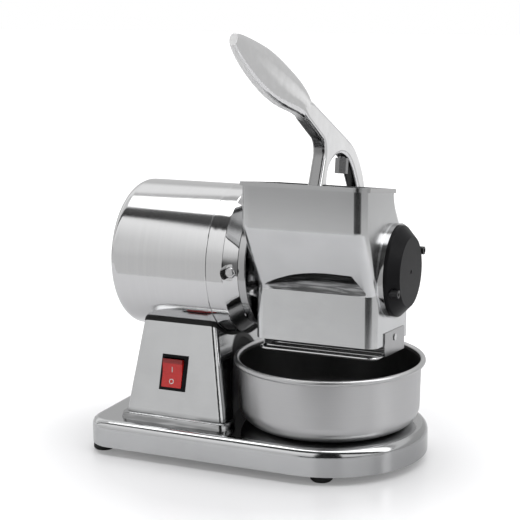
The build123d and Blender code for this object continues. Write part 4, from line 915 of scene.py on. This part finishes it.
def floor_finish():
    """White table; mirrors see it end a little in front of the machine."""
    material, sheet = new_finish("studio_table")
    x, y, _ = sheet.split(sheet.place())
    left, right, front, back = TABLE
    table = sheet.within(x, left, right, TABLE_EDGE) * sheet.within(y, front, back, TABLE_EDGE)
    seen = sheet.node("ShaderNodeLightPath", None, None, "Is Camera Ray")
    shown = table.larger(seen)
    # Painted shadow: the camera sees the floor glow more with distance, so it is painted darker round the
    # machine
    reach = (x * x + y * y).root()
    glow = sheet.tint(seen, (0.0, 0.0, 0.0), sheet.ramp(reach, TABLE_GLOW))
    white = sheet.node("ShaderNodeBsdfPrincipled", None, {
        "Base Color": (0.70, 0.70, 0.71, 1.0), "Roughness": 0.25, "Specular IOR Level": 0.35,
        "Emission Color": glow, "Emission Strength": 1.0})
    clear = sheet.node("ShaderNodeBsdfTransparent")
    mixed = sheet.node("ShaderNodeMixShader", None, {0: shown, 1: clear, 2: white})
    sheet.node("ShaderNodeOutputMaterial", None, {"Surface": mixed})
    return material


def studio_floor(half):
    mesh = bpy.data.meshes.new("studio_floor")
    corners = [(-half, -half, 0), (half, -half, 0), (half, half, 0), (-half, half, 0)]
    mesh.from_pydata(corners, [], [(0, 1, 2, 3)])
    floor = bpy.data.objects.new("studio_floor", mesh)
    bpy.context.scene.collection.objects.link(floor)
    mesh.materials.append(floor_finish())


def studio_camera(lens):
    data = bpy.data.cameras.new("studio_camera")
    data.lens = lens
    data.sensor_width = SENSOR_WIDTH
    camera = bpy.data.objects.new("studio_camera", data)
    bpy.context.scene.collection.objects.link(camera)
    look = Vector(CAMERA_TARGET) - Vector(CAMERA_PLACE)
    turn = look.to_track_quat("-Z", "Y").to_matrix().to_4x4() @ Matrix.Rotation(CAMERA_ROLL, 4, "Z")
    camera.matrix_world = Matrix.Translation(CAMERA_PLACE) @ turn
    bpy.context.scene.camera = camera


class GRATER_OT_stage(bpy.types.Operator):
    """Sets up the floor, the light and the camera."""

    bl_idname = "grater.stage"
    bl_label = "Studio"

    def execute(self, context):
        studio = context.scene.grater_studio
        studio_floor(studio.floor_half)
        studio_world(studio.brightness)
        studio_camera(studio.lens)
        context.scene.view_settings.view_transform = "Standard"
        return {"FINISHED"}


class GRATER_PT_panel(bpy.types.Panel):
    """Lists the steps that dress the grater."""

    bl_idname = "GRATER_PT_panel"
    bl_label = "Electric grater"
    bl_space_type = "VIEW_3D"
    bl_region_type = "UI"
    bl_category = "Grater"

    def draw(self, context):
        for step in STEPS:
            self.layout.operator(step)


STEPS = ("grater.dress", "grater.teeth", "grater.marks", "grater.stage")
GROUPS = {"grater_colours": GraterColours, "grater_teeth": GraterTeeth, "grater_marks": GraterMarks,
          "grater_studio": GraterStudio}
CLASSES = (*GROUPS.values(), GRATER_OT_dress, GRATER_OT_teeth, GRATER_OT_marks, GRATER_OT_stage,
           GRATER_PT_panel)


def register():
    for kind in CLASSES:
        bpy.utils.register_class(kind)
    for name, group in GROUPS.items():
        setattr(bpy.types.Scene, name, PointerProperty(type=group))


def unregister():
    for name in GROUPS:
        delattr(bpy.types.Scene, name)
    for kind in reversed(CLASSES):
        bpy.utils.unregister_class(kind)


def main():
    register()
    bpy.ops.grater.dress()
    bpy.ops.grater.teeth()
    bpy.ops.grater.marks()
    bpy.ops.grater.stage()


if __name__ == "__main__":
    main()
